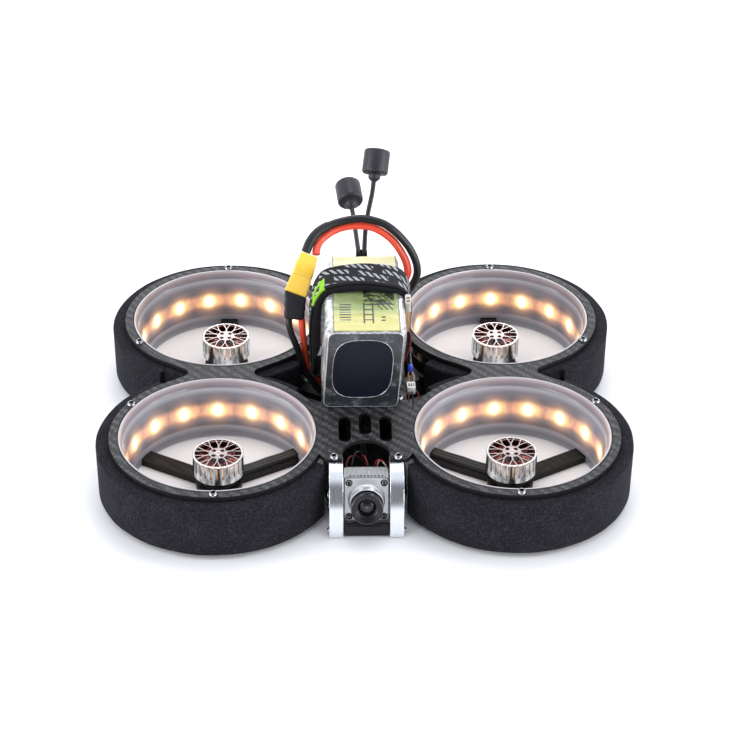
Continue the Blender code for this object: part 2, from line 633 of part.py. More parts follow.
def make_boards():
    """Three boards on four stepped posts; the upper two each have a push button at their right edge."""
    for name, (low, high) in BOARDS.items():
        holes = [circle((x * STACK_HALF, y * STACK_HALF), 1.5, 12) for x in (-1, 1) for y in (-1, 1)]
        outline = rounded_box((-BOARD_HALF, -BOARD_HALF), (BOARD_HALF, BOARD_HALF), 2.0, 45)
        add_object(name, prism(name, outline, low, high, holes), "circuit_board")
    low = LOWER_THICK + GAP
    top = BOARDS["video_transmitter"][1] + 1.8
    profile = [(0, top), (2.4, top)]
    for deck_low, deck_high in reversed(BOARDS.values()):
        profile += [(2.4, deck_high + GAP), (1.1, deck_high + GAP),
                    (1.1, deck_low - GAP), (2.4, deck_low - GAP)]
    profile += [(2.4, low), (0, low)]
    for i, (x, y) in enumerate(((-1, -1), (1, -1), (-1, 1), (1, 1)), 1):
        name = f"stack_post_{i}"
        add_object(name, turned(name, profile, 10), "standoff", (x * STACK_HALF, y * STACK_HALF, 0))
    buttons = {"boot_button": ("flight_controller", -4.0), "bind_button": ("video_transmitter", 4.0)}
    for name, (board, y) in buttons.items():
        z = sum(BOARDS[board]) / 2
        cap = prism(name, rounded_box((-1.0, -0.7), (1.0, 0.7), 0.3, 45), 0, 1.4, turn=SIDE_VIEW)
        add_object(name, cap, "black_plastic", (BOARD_HALF + GAP + 0.4, y, z))


def make_standoffs():
    """Four pillars between the two plates."""
    low, high = LOWER_THICK + GAP, PLATE_BOTTOM - GAP
    profile = ((0, high), (2.4, high), (2.4, low), (0, low))
    for name, (x, y) in {"standoff_front_left": (-15.4, -21.6), "standoff_front_right": (15.4, -21.6),
                         "standoff_rear_left": (-13.5, 52.0), "standoff_rear_right": (13.5, 52.0)}.items():
        add_object(name, turned(name, profile, 12), "standoff", (x, y, 0))


def make_small_connections():
    """The pack's balance plug, tucked beside it, and the camera's lead between the plates."""
    plug = block("balance_plug", (17.8, -4.6, 50.2), (21.0, 3.2, 66.2), 0.6)
    add_object("balance_plug", plug, "white_plug")
    tube("camera_lead", ((0.0, -57.4, 13.0), (0.2, -52.0, 14.6), (-0.6, -42.0, 15.0), (-0.4, -30.0, 15.6),
                         (0.0, -20.0, 15.4), (0.0, -15.4, 15.2)), 1.2, "black_wire", 4.5)


def build():
    clear_scene()
    make_top_plate()
    make_bottom_plate()
    for corner in CORNERS:
        make_duct(corner)
        make_foam(corner)
        make_light_strip(corner)
        make_motor(corner)
    for side in SIDES:
        make_bracket(side)
    make_cross_bar()
    make_camera()
    make_battery()
    make_strap()
    make_connectors()
    make_leads()
    make_antennas()
    make_boards()
    make_standoffs()
    make_small_connections()


build()
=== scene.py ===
"""Looks of the ducted camera drone, on the frame of its CAD model.

The builders work in millimetres, in the frame's axes; finish_mesh turns their meshes into metres.
"""
from math import acos, asin, atan2, copysign, cos, degrees, hypot, pi, radians, sin, tau

import bmesh
import bpy
from mathutils import Matrix, Vector, noise


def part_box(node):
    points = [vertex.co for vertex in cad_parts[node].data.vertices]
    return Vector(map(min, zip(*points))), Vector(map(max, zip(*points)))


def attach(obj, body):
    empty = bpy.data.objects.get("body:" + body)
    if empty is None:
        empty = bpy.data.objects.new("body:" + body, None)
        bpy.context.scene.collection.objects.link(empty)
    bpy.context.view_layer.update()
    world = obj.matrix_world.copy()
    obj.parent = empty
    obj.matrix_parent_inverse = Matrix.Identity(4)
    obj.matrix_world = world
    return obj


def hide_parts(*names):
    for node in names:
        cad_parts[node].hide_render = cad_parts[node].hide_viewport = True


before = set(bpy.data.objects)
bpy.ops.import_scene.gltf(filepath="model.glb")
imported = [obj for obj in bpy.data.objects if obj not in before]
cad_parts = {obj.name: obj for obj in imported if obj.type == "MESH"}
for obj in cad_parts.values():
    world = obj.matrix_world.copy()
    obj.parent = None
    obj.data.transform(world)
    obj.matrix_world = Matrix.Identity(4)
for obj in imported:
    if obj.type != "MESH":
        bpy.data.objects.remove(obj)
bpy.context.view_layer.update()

MM = 0.001


def span(node):
    """Lowest and highest corner of a CAD node, in millimetres."""
    low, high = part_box(node)
    return low / MM, high / MM


# ---------------------------------------------------------------- dimensions, in millimetres

BELL_LOW, BELL_HIGH = span("motor_bell_rear_right")
MOTOR_X = (BELL_LOW.x + BELL_HIGH.x) / 2
MOTOR_Y = (BELL_LOW.y + BELL_HIGH.y) / 2
BELL_RADIUS = (BELL_HIGH.x - BELL_LOW.x) / 2
BELL_TOP = BELL_HIGH.z
BELL_BOTTOM = 7.7
PLATE_BOTTOM = span("top_plate")[0].z
PLATE_TOP = span("top_plate")[1].z
LOWER_TOP = span("bottom_plate")[1].z
FOAM_BOTTOM = span("foam_bumper_rear_right")[0].z
FOAM_TOP = span("foam_bumper_rear_right")[1].z
BATTERY_LOW, BATTERY_HIGH = span("battery_pack")

RING_OUTER = 46.2
RING_HOLE = 42.6
BODY_HALF = 18.6
TAB_FRONT = -67.3
REAR_EDGE = 64
TIP_OFFSET = 14.75
TIP_RADIUS = 3.4
LOWER_HALF = 18
ARM_HALF = 3.8
ARM_END = 45
HUB_RADIUS = 10
FOAM_INNER = 45.8
FOAM_OUTER = 51.8
FOAM_THIN = 49.6
FOAM_END = 17.6
CAMERA_Y = -70
CAMERA_Z = 12.06
CAMERA_TILT = 15.5
CAMERA_HALF = 9.3
CAMERA_FRONT = 7.25
CAMERA_BACK = -7.25
BRACKET_IN = 9.75
BRACKET_OUT = 15.75
SCREW_CIRCLE = 44
DUCT_TOP = 28.2
GLOW_RADIUS = 39.3          # the duct's inside, level with the lights
GLOW_HEIGHT = 13.2
LAMP_RADIUS = 41.5
LAMP_HEIGHT = 13
WINDOW_OUT = 10.05          # the outer end of the windows in a bell's top
BELL_TURN = -1            # degrees
BATTERY_LEAN = 0.065
LEAN_FROM = 39
BEVEL_ANGLE = 40            # degrees
ARMS = (30, 150, 270)       # the arms' directions round the front left motor, the body's side first

CORNERS = {"front_left": (-1, -1), "front_right": (1, -1), "rear_left": (-1, 1), "rear_right": (1, 1)}
SIDES = {"left": -1, "right": 1}
LIGHTS = 16                 # lights round each duct
FIRST_LIGHT = {"front_left": 92.5, "front_right": 97, "rear_left": 104, "rear_right": 89}

# Local x, y, z become world y, z, x (a side view pushed along X) or world x, z, -y (a front view)
SIDE_VIEW = Matrix(((0, 0, 1, 0), (1, 0, 0, 0), (0, 1, 0, 0), (0, 0, 0, 1)))
FRONT_VIEW = Matrix(((1, 0, 0, 0), (0, 0, -1, 0), (0, 1, 0, 0), (0, 0, 0, 1)))


# ---------------------------------------------------------------- outlines

def arc(centre, radius, start, end, step=3):
    """Points on an arc, both ends included, angles in degrees."""
    count = max(2, round(abs(end - start) / step) + 1)
    angles = [radians(start + (end - start) * i / (count - 1)) for i in range(count)]
    return [(centre[0] + radius * cos(a), centre[1] + radius * sin(a)) for a in angles]


def circle(centre, radius, steps=120):
    return arc(centre, radius, 0, 360 - 360 / steps, 360 / steps)


def rounded_box(low, high, radius, step=10):
    (x0, y0), (x1, y1) = low, high
    r = radius
    return (arc((x1 - r, y0 + r), r, -90, 0, step) + arc((x1 - r, y1 - r), r, 0, 90, step)
            + arc((x0 + r, y1 - r), r, 90, 180, step) + arc((x0 + r, y0 + r), r, 180, 270, step))


def slot(x, y_low, y_high, width):
    """An opening along Y with round ends."""
    r = width / 2
    return arc((x, y_high - r), r, 0, 180, 12) + arc((x, y_low + r), r, 180, 360, 12)


def smooth_line(points, spacing, ring=False):
    """A smooth curve through points of any dimension, read about every `spacing` millimetres."""
    ends = [Vector(p) for p in points]
    if ring:
        ends = [ends[-1]] + ends + ends[:2]
    else:
        ends = [2 * ends[0] - ends[1]] + ends + [2 * ends[-1] - ends[-2]]
    fine = []
    for a, b, c, d in zip(ends, ends[1:], ends[2:], ends[3:]):
        for i in range(20):
            t = i / 20
            fine.append(0.5 * (2 * b + (c - a) * t + (2 * a - 5 * b + 4 * c - d) * t * t
                               + (3 * b - 3 * c + d - a) * t ** 3))
    fine.append(ends[-2])
    lengths = [0]
    for a, b in zip(fine, fine[1:]):
        lengths.append(lengths[-1] + (b - a).length)
    count = max(2, round(lengths[-1] / spacing))
    route, k = [], 0
    for i in range(count + (0 if ring else 1)):
        goal = lengths[-1] * i / count
        while k < len(fine) - 2 and lengths[k + 1] < goal:
            k += 1
        share = (goal - lengths[k]) / (lengths[k + 1] - lengths[k])
        route.append(fine[k].lerp(fine[k + 1], share))
    return route


# ---------------------------------------------------------------- meshes

def finish_mesh(bm, name, smooth_angle=35):
    """The mesh of a bmesh: cleaned, with its faces outwards, in metres."""
    bmesh.ops.remove_doubles(bm, verts=bm.verts, dist=0.0005)
    bmesh.ops.dissolve_degenerate(bm, edges=bm.edges, dist=0.0001)
    bmesh.ops.recalc_face_normals(bm, faces=bm.faces)
    bmesh.ops.scale(bm, vec=(MM, MM, MM), verts=bm.verts)
    mesh = bpy.data.meshes.new(name)
    bm.to_mesh(mesh)
    bm.free()
    mesh.shade_smooth()
    mesh.set_sharp_from_angle(angle=radians(smooth_angle))
    return mesh


def add_prism(bm, outline, low, high, holes=(), turn=None):
    """Adds an outline with holes, from height low to high, to a bmesh."""
    edges = []
    for loop in (outline, *holes):
        verts = [bm.verts.new((x, y, low)) for x, y in loop]
        edges += [bm.edges.new((a, b)) for a, b in zip(verts, verts[1:] + verts[:1])]
    faces = bmesh.ops.triangle_fill(bm, use_beauty=True, use_dissolve=False, edges=edges)["geom"]
    faces = [f for f in faces if isinstance(f, bmesh.types.BMFace)]
    below = {v for f in faces for v in f.verts}
    grown = bmesh.ops.extrude_face_region(bm, geom=faces)["geom"]
    above = [v for v in grown if isinstance(v, bmesh.types.BMVert)]
    bmesh.ops.translate(bm, vec=(0, 0, high - low), verts=above)
    if turn:
        bmesh.ops.transform(bm, matrix=turn, verts=list(below | set(above)))


def prism(name, outline, low, high, holes=(), turn=None, smooth_angle=35):
    bm = bmesh.new()
    add_prism(bm, outline, low, high, holes, turn)
    return finish_mesh(bm, name, smooth_angle)


def add_turned(bm, profile, steps=64, closed=False, turn=None):
    """Adds a profile of (radius, height), spun about Z, to a bmesh."""
    verts = [bm.verts.new((r, 0, z)) for r, z in profile]
    pairs = list(zip(verts, verts[1:]))
    if closed:
        pairs.append((verts[-1], verts[0]))
    edges = [bm.edges.new(pair) for pair in pairs]
    before = set(bm.verts) - set(verts)
    bmesh.ops.spin(bm, geom=verts + edges, axis=(0, 0, 1), cent=(0, 0, 0),
                   angle=tau, steps=steps, use_merge=True)
    if turn:
        bmesh.ops.transform(bm, matrix=turn, verts=list(set(bm.verts) - before))


def turned(name, profile, steps=64, closed=False, turn=None, smooth_angle=35):
    bm = bmesh.new()
    add_turned(bm, profile, steps, closed, turn)
    return finish_mesh(bm, name, smooth_angle)


def add_loft(bm, sections, ring=False, cloth=None):
    """Joins sections of equal length; `cloth` gives each point's place on the flat cloth."""
    layer = bm.verts.layers.float_vector.get("cloth") if cloth else None
    rings = []
    for s, section in enumerate(sections):
        verts = [bm.verts.new(p) for p in section]
        if cloth:
            for vert, place in zip(verts, cloth[s]):
                vert[layer] = place
        rings.append(verts)
    for a, b in zip(rings, rings[1:] + (rings[:1] if ring else [])):
        for i in range(len(a)):
            j = (i + 1) % len(a)
            bm.faces.new((a[i], a[j], b[j], b[i]))
    if not ring:
        bm.faces.new(rings[0])
        bm.faces.new(rings[-1])


def loft(name, sections, ring=False, smooth_angle=35, cloth=None):
    bm = bmesh.new()
    if cloth:
        bm.verts.layers.float_vector.new("cloth")
    add_loft(bm, sections, ring, cloth)
    return finish_mesh(bm, name, smooth_angle)


def piece(name, data, look, stands_for=(), place=(0, 0, 0), turn=0, bevel=0, matrix=None,
          body="frame"):
    """Links a mesh or curve as a piece of the object, with a look or a name in LOOKS, riding on a body."""
    obj = bpy.data.objects.new(name, data)
    bpy.context.scene.collection.objects.link(obj)
    data.materials.clear()
    data.materials.append(LOOKS[look] if isinstance(look, str) else look)
    if matrix is not None:
        obj.matrix_world = matrix
    else:
        obj.location = Vector(place) * MM
        obj.rotation_euler.z = radians(turn)
    if bevel:
        rounding = obj.modifiers.new("edges", "BEVEL")
        rounding.width = bevel * MM
        rounding.segments = 2
        rounding.limit_method = "ANGLE"
        rounding.angle_limit = radians(BEVEL_ANGLE)
        rounding.harden_normals = True
    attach(obj, body)
    if stands_for:
        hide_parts(*stands_for)
    return obj


def tube_curve(name, route, radius, resolution=5):
    """A round wire as a curve of one spline through the points of `route`."""
    curve = bpy.data.curves.new(name, "CURVE")
    curve.dimensions = "3D"
    spline = curve.splines.new("POLY")
    spline.points.add(len(route) - 1)
    for point, place in zip(spline.points, route):
        point.co = (*(place * MM), 1)
    curve.bevel_depth = radius * MM
    curve.bevel_resolution = resolution
    curve.use_fill_caps = True
    spline.use_smooth = True
    return curve


def share_of(value, start, length):
    """How far a value is along a stretch, from 0 to 1."""
    return max(0, min(1, (value - start) / length))


def motor_place(corner):
    """Where a motor's axis meets the ground."""
    sx, sy = CORNERS[corner]
    return (sx * MOTOR_X, sy * MOTOR_Y, 0)


# ---------------------------------------------------------------- materials

def operator(operation, swapped=False):
    """A method that adds a Math node for an operation on a value."""
    def apply(value, *others):
        values = (*others, value) if swapped else (value, *others)
        return value.owner.math(operation, *values)
    return apply


class Value:
    """An output of a node, which takes part in arithmetic."""

    def __init__(self, owner, socket):
        self.owner = owner
        self.socket = socket

    __add__ = __radd__ = operator("ADD")
    __mul__ = __rmul__ = operator("MULTIPLY")
    __sub__ = operator("SUBTRACT")
    __rsub__ = operator("SUBTRACT", swapped=True)
    __truediv__ = operator("DIVIDE")
    __mod__ = operator("FLOORED_MODULO")
    __lt__ = operator("LESS_THAN")
    __gt__ = operator("GREATER_THAN")
    __abs__ = operator("ABSOLUTE")
    floor = operator("FLOOR")
    fract = operator("FRACT")
    exp = operator("EXPONENT")
    sqrt = operator("SQRT")
    arctan2 = operator("ARCTAN2")
    pingpong = operator("PINGPONG")
    maximum = operator("MAXIMUM")


class Nodes:
    """A node tree, with short ways to add nodes to it."""

    def __init__(self, tree):
        self.nodes = tree.nodes
        self.links = tree.links

    def add(self, kind, inputs, output=0, **settings):
        """A new node's output; the inputs are values, plain numbers, vectors or colours."""
        node = self.nodes.new("ShaderNode" + kind)
        for key, value in settings.items():
            setattr(node, key, value)
        for key, value in inputs.items():
            self.feed(node.inputs[key], value)
        return Value(self, node.outputs[output])

    def feed(self, socket, value):
        if isinstance(value, Value):
            self.links.new(value.socket, socket)
        else:
            socket.default_value = value

    def math(self, operation, a, b=0, c=0, clamp=False):
        return self.add("Math", {0: a, 1: b, 2: c}, operation=operation, use_clamp=clamp)

    def mix(self, factor, a, b):
        """From colour a to colour b."""
        a, b = [(*v, 1) if isinstance(v, tuple) else v for v in (a, b)]
        return self.add("Mix", {0: factor, 6: a, 7: b}, 2, data_type="RGBA")

    def split(self, vector):
        """The x, y and z of a vector."""
        node = self.nodes.new("ShaderNodeSeparateXYZ")
        self.feed(node.inputs[0], vector)
        return [Value(self, output) for output in node.outputs]

    def ramp(self, factor, stops):
        """A colour from a factor; each stop is a position and a colour."""
        node = self.nodes.new("ShaderNodeValToRGB")
        self.feed(node.inputs[0], factor)
        elements = node.color_ramp.elements
        while len(elements) < len(stops):
            elements.new(0.5)
        for element, (position, colour) in zip(elements, stops):
            element.position = position
            element.color = (*colour, 1)
        return Value(self, node.outputs[0])


class Look(Nodes):
    """A Principled material, with short ways to texture it."""

    def __init__(self, name, colour, roughness, metallic=0, **sockets):
        self.material = bpy.data.materials.new(name)
        self.material.use_nodes = True
        super().__init__(self.material.node_tree)
        self.shader = self.nodes["Principled BSDF"]
        self.shader.inputs["Base Color"].default_value = (*colour, 1)
        self.shader.inputs["Roughness"].default_value = roughness
        self.shader.inputs["Metallic"].default_value = metallic
        for key, value in sockets.items():
            self.shader.inputs[key.replace("_", " ")].default_value = value
        self.place = self.add("TexCoord", {}, "Object")

    def drive(self, name, value):
        self.feed(self.shader.inputs[name], value)

    def axes(self, place=None, unit=MM):
        """The x, y and z of a place, in millimetres."""
        return self.split(self.add("VectorMath", {0: place or self.place, 3: 1 / unit}, operation="SCALE"))

    def noise(self, grain, detail=3, roughness=0.55, stretch=(1, 1, 1)):
        """Noise whose lumps are about `grain` millimetres, longer along the stretched axes."""
        scale = tuple(1 / (grain * MM * s) for s in stretch)
        moved = self.add("Mapping", {"Vector": self.place, "Scale": scale})
        return self.add("TexNoise", {"Vector": moved, "Scale": 1, "Detail": detail, "Roughness": roughness})

    def bump(self, height, distance, strength=1):
        """Bump of `distance` millimetres, added to any before it."""
        before = self.shader.inputs["Normal"]
        inputs = {"Height": height, "Distance": distance * MM, "Strength": strength}
        if before.links:
            inputs["Normal"] = Value(self, before.links[0].from_socket)
        self.feed(before, self.add("Bump", inputs))


def speckled(name, colour, roughness, metallic=0, grain=0.4, depth=0.02, vary=0.25, **sockets):
    """A plain finish with fine grain, slightly uneven colour and uneven gloss."""
    look = Look(name, colour, roughness, metallic, **sockets)
    broad = look.noise(6)
    fine = look.noise(grain, 2)
    dark = tuple(v * (1 - vary) for v in colour)
    light = tuple(min(1, v * (1 + vary)) for v in colour)
    look.drive("Base Color", look.mix(broad * 0.6 + fine * 0.4, dark, light))
    low, high = roughness * 0.8, min(1, roughness * 1.25)
    look.drive("Roughness", broad * (high - low) + low)
    look.bump(fine, depth)
    return look.material


def carbon_look(name, tow=1.45, dark=0.010, light=0.042):
    """2x2 twill: tows pass over two and under two, each row one tow further."""
    look = Look(name, (0.05, 0.05, 0.05), 0.5, Specular_IOR_Level=0.3)
    x, y, z = look.axes()
    u = x / tow
    v = y / tow
    step = u.floor() + v.floor()
    over = step % 4 < 1.5
    across_u = u.pingpong(0.5)
    across_v = v.pingpong(0.5)
    fibres_u = look.noise(0.12, 2, stretch=(1, 14, 14))
    fibres_v = look.noise(0.12, 2, stretch=(14, 1, 14))
    crown = look.add("Mix", {0: over, 2: across_v, 3: across_u})
    fibres = look.add("Mix", {0: over, 2: fibres_v, 3: fibres_u})
    tone = (1 - over) * (light - dark) + dark
    cell = look.add("CombineXYZ", {0: u.floor(), 1: v.floor()})
    patch = look.add("TexWhiteNoise", {"Vector": cell})
    tone = tone * (patch * 1.1 + 0.45)
    tone = tone * (fibres * 0.7 + 0.65)
    tone = tone * (look.noise(9) * 0.5 + 0.75)
    normal = look.add("NewGeometry", {}, "True Normal")
    edge = abs(look.split(normal)[2]) < 0.5
    plies = (z * 4).pingpong(1) * 0.006 + 0.003
    tone = look.add("Mix", {0: edge, 2: tone, 3: plies})
    colour = look.add("CombineColor", {0: tone, 1: tone, 2: tone * 1.06})
    look.drive("Base Color", colour)
    look.drive("Roughness", fibres * 0.25 + 0.42)
    look.bump(fibres * 0.15 + crown, 0.12, 0.5)
    return look.material


def foam_look():
    look = Look("foam", (0.02, 0.02, 0.022), 0.95, Specular_IOR_Level=0.25)
    pores = look.noise(1, 5, 0.8)
    broad = look.noise(9, 2)
    tone = pores * 0.88 + broad * 0.12
    look.drive("Base Color", look.ramp(tone, [(0.36, (0.001, 0.001, 0.002)), (0.50, (0.008, 0.008, 0.012)),
                                              (0.66, (0.034, 0.034, 0.043))]))
    look.bump(pores, 0.35, 0.8)
    look.bump(broad, 0.6, 0.5)
    return look.material


def light_pattern(look, radius, z, first):
    """How near a point is to a light: core, halo and the strip between the lights."""
    x, y, _ = look.axes()
    turn = y.arctan2(x) * (LIGHTS / tau)
    turn = turn - first * LIGHTS / 360
    share = (turn + 0.5).fract() - 0.5
    along = share * (tau * radius / LIGHTS)
    flat = along * along
    tall = z * z
    apart = tall * 1.25 + flat
    tight = tall * 0.8 + flat * 1.5
    core = (tight * -0.22).exp()
    halo = (apart * -0.036).exp()
    band = (tall * tall * -0.008).exp()
    return core, halo, band


def duct_look(first=None):
    """Frosted plastic banded by height, partly its own grey and partly painted light: the pale foot, bright
    rings and pale lip are painted highlights and the reddish band level with the lights is painted glow; on
    the inside the glow of the lights behind it is painted on the wall as emission.
    """
    inside = first is not None
    look = Look("duct_plastic", (0.6, 0.6, 0.62), 0.26, Coat_Weight=0.3, Coat_Roughness=0.10)
    z = look.axes()[2]
    height = z / DUCT_TOP
    # Painted highlights and glow in the colour, by height: pale foot, bright rings, reddish band level with
    # the lights, pale lip.
    stops = [(0, (0.62, 0.63, 0.66)), (0.03, (0.22, 0.23, 0.26)), (0.10, (0.15, 0.16, 0.19)),
             (0.185, (0.36, 0.37, 0.41)), (0.225, (0.12, 0.13, 0.16)), (0.30, (0.17, 0.18, 0.21)),
             (0.36, (0.12, 0.13, 0.15)), (0.41, (0.26, 0.20, 0.20)), (0.58, (0.26, 0.19, 0.19)),
             (0.63, (0.13, 0.14, 0.16)), (0.76, (0.19, 0.20, 0.23)), (0.845, (0.46, 0.46, 0.50)),
             (0.87, (0.17, 0.15, 0.17)), (0.94, (0.30, 0.24, 0.26)), (0.985, (0.52, 0.47, 0.49))]
    base = look.ramp(height, stops)
    if not inside:
        base = look.mix(0.85, base, (0.012, 0.012, 0.016))
    swirl = look.noise(16, 2, stretch=(1, 1, 0.35)) if inside else 0
    streaks = look.noise(2.2, 3, stretch=(5, 5, 0.3))
    base = look.mix(swirl * 0.3, base, (0.56, 0.56, 0.64))
    base = look.mix(streaks * 0.25, base, (0.06, 0.07, 0.09))
    look.drive("Base Color", base)
    look.bump(look.noise(0.6, 2), 0.01)
    # The lights' glow behind the wall, painted on it as emission.
    if inside:
        core, halo, band = light_pattern(look, GLOW_RADIUS, z - GLOW_HEIGHT, first)
        uneven = look.noise(3.2, 3, stretch=(1, 1, 1.6)) * 1.5 + -0.15
        glow = look.mix(halo, (0.82, 0.27, 0.13), (1, 0.72, 0.22))
        glow = look.mix(core, glow, (1, 0.96, 0.76))
        strength = core * 3 + halo * 1.05
        strength = band * uneven * 0.85 + strength
        look.drive("Emission Color", glow)
        look.drive("Emission Strength", strength)
    return look.material


def strip_look(first):
    """The strip's lamps glow inwards; its outer backing is black."""
    look = Look("light_strip", (0.85, 0.8, 0.7), 0.5)
    x, y, z = look.axes()
    across = (x * x + y * y).sqrt()
    inner = across < 41.86
    core, halo, _ = light_pattern(look, LAMP_RADIUS, z - LAMP_HEIGHT, first)
    pale = look.mix(look.noise(1.2), (0.10, 0.06, 0.03), (0.20, 0.16, 0.12))
    look.drive("Base Color", look.mix(inner, (0.010, 0.010, 0.012), pale))
    look.drive("Emission Color", look.mix(core, (1, 0.5, 0.18), (1, 0.92, 0.7)))
    glow = core * 0.35 + halo * 0.03
    look.drive("Emission Strength", glow * inner)
    look.bump(look.noise(0.8), 0.05)
    return look.material


def bell_look():
    """Turned and polished metal: fine rings round the axis and faint smudges, with cloudy reflections painted
    into its colour and the bright rim of its top a painted highlight.
    """
    look = Look("bell_metal", (0.60, 0.61, 0.63), 0.2, 1)
    x, y, z = look.axes()
    rings = look.noise(0.10, 2, stretch=(40, 40, 1))
    smudge = look.noise(3)
    cloud = look.noise(4.5, 2, stretch=(0.7, 0.7, 1.6))
    # Painted reflections: the wall's colour clouded from dark to pale.
    colour = look.ramp(cloud, [(0.34, (0.20, 0.22, 0.23)), (0.48, (0.50, 0.54, 0.57)),
                               (0.62, (0.82, 0.84, 0.86))])
    top = z > BELL_TOP - 0.6
    across = (x * x + y * y).sqrt()
    # The top's outer rim is painted bright: a painted highlight.
    rim = across > 10.15
    face = look.mix(rim, (0.60, 0.52, 0.50), (0.95, 0.92, 0.90))
    look.drive("Base Color", look.mix(top, colour, face))
    look.drive("Roughness", smudge * 0.14 + 0.1)
    look.bump(rings, 0.01)
    return look.material


def winding_look():
    """Enamelled copper wire, wound round the teeth: mostly dark red, with bright turns."""
    look = Look("winding", (0.30, 0.06, 0.03), 0.35, 0.6, Coat_Weight=0.4, Coat_Roughness=0.15)
    z = look.axes()[2]
    turns = (z * 2.6).pingpong(0.5)
    patch = look.noise(1.1, 3)
    look.drive("Base Color", look.ramp(patch, [(0.40, (0.012, 0.003, 0.002)), (0.52, (0.27, 0.048, 0.033)),
                                               (0.66, (0.70, 0.23, 0.15))]))
    look.bump(turns, 0.25)
    return look.material


def slot_glow_look():
    """The copper that shows through the bell's side slots, with a painted glow on its outer wall, gold above
    and copper below; the rest of it is dark.
    """
    look = Look("painted_slot_glint", (1, 0.62, 0.22), 0.25, 0.9)
    x, y, z = look.axes()
    rise = look.math("DIVIDE", z - 9.5, 6.5, clamp=True)
    across = (x * x + y * y).sqrt()
    outer = (across > 9.95) * (z < BELL_TOP - 1)
    patch = look.noise(2, 2)
    # Painted glow and glints: the outer wall lit gold above and copper below, in patches, with emission.
    lit = look.mix(patch, (0.75, 0.30, 0.16), (1, 0.78, 0.45))
    look.drive("Base Color", look.mix(outer, (0.10, 0.014, 0.010), lit))
    patch = patch * outer
    look.drive("Emission Color", look.mix(rise, (0.95, 0.42, 0.27), (1, 0.80, 0.52)))
    look.drive("Emission Strength", (rise + 0.2) * (patch * 1.1))
    return look.material


def metal_look(name, colour, roughness, stretch=(1, 1, 1), grain=0.12, depth=0.008, metallic=1):
    """Satin metal with fine brushing along the stretched axes and slightly worn gloss."""
    look = Look(name, colour, roughness, metallic)
    brushed = look.noise(grain, 2, stretch=stretch)
    worn = look.noise(3.5)
    dark = tuple(v * 0.88 for v in colour)
    light = tuple(min(1, v * 1.08) for v in colour)
    look.drive("Base Color", look.mix(worn, dark, light))
    look.drive("Roughness", brushed * (roughness * 0.6) + roughness * 0.7)
    look.bump(brushed, depth)
    return look.material


def glass_look():
    """Coated lens, dark, with the rings of the inner elements and painted reflections in its colour: a
    lighter spot in the middle and a faint green-violet sheen.
    """
    look = Look("lens_glass", (0.02, 0.02, 0.025), 0.04, 0, Coat_Weight=0.2, Coat_Roughness=0.02,
                Specular_IOR_Level=0.35)
    x, _, z = look.axes()
    across = (x * x + z * z).sqrt()
    # Painted reflections by distance from the axis: a lighter middle spot, element rings, a violet sheen near
    # the edge.
    stops = [(0, (0.03, 0.032, 0.036)), (0.16, (0.09, 0.09, 0.10)), (0.24, (0.006, 0.006, 0.009)),
             (0.42, (0.012, 0.012, 0.016)), (0.48, (0.045, 0.048, 0.052)), (0.53, (0.004, 0.004, 0.006)),
             (0.85, (0.02, 0.018, 0.03)), (1, (0.004, 0.004, 0.006))]
    look.drive("Base Color", look.ramp(across / 3.4, stops))
    look.drive("Roughness", look.noise(1) * 0.05 + 0.02)
    return look.material


def wrap_look():
    """Clear shrink wrap over foil, crinkled up the pack; the crinkles are painted in its colour, painted
    shade in the creases and painted highlights on the ridges.
    """
    look = Look("battery_wrap", (0.5, 0.5, 0.5), 0.25, 0.45, Coat_Weight=0.8, Coat_Roughness=0.08)
    creases = look.noise(2.2, 5, 0.60, stretch=(1, 1, 6))
    fine = look.noise(0.7, 4, 0.6, stretch=(1, 1, 4))
    tone = fine * 0.3 + creases * 0.7
    # Painted shade and highlights: dark in the creases, bright on the ridges.
    look.drive("Base Color", look.ramp(tone, [(0.34, (0.10, 0.10, 0.11)), (0.44, (0.32, 0.33, 0.35)),
                                              (0.54, (0.56, 0.57, 0.59)), (0.68, (0.86, 0.86, 0.87))]))
    look.bump(creases, 0.6, 0.6)
    look.bump(fine, 0.12, 0.5)
    return look.material


def rim_look():
    """The wrap folded over the pack's end: grey, cloudy and glossy."""
    look = Look("battery_rim", (0.08, 0.085, 0.09), 0.3, Coat_Weight=0.7, Coat_Roughness=0.12)
    cloud = look.noise(4.5, 5, 0.6)
    streak = look.noise(1, 4, 0.7, stretch=(3, 1, 1))
    tone = streak * 0.35 + cloud * 0.65
    look.drive("Base Color", look.ramp(tone, [(0.40, (0.012, 0.013, 0.018)), (0.54, (0.026, 0.029, 0.036)),
                                              (0.68, (0.17, 0.18, 0.20))]))
    look.bump(tone, 0.5, 0.6)
    return look.material


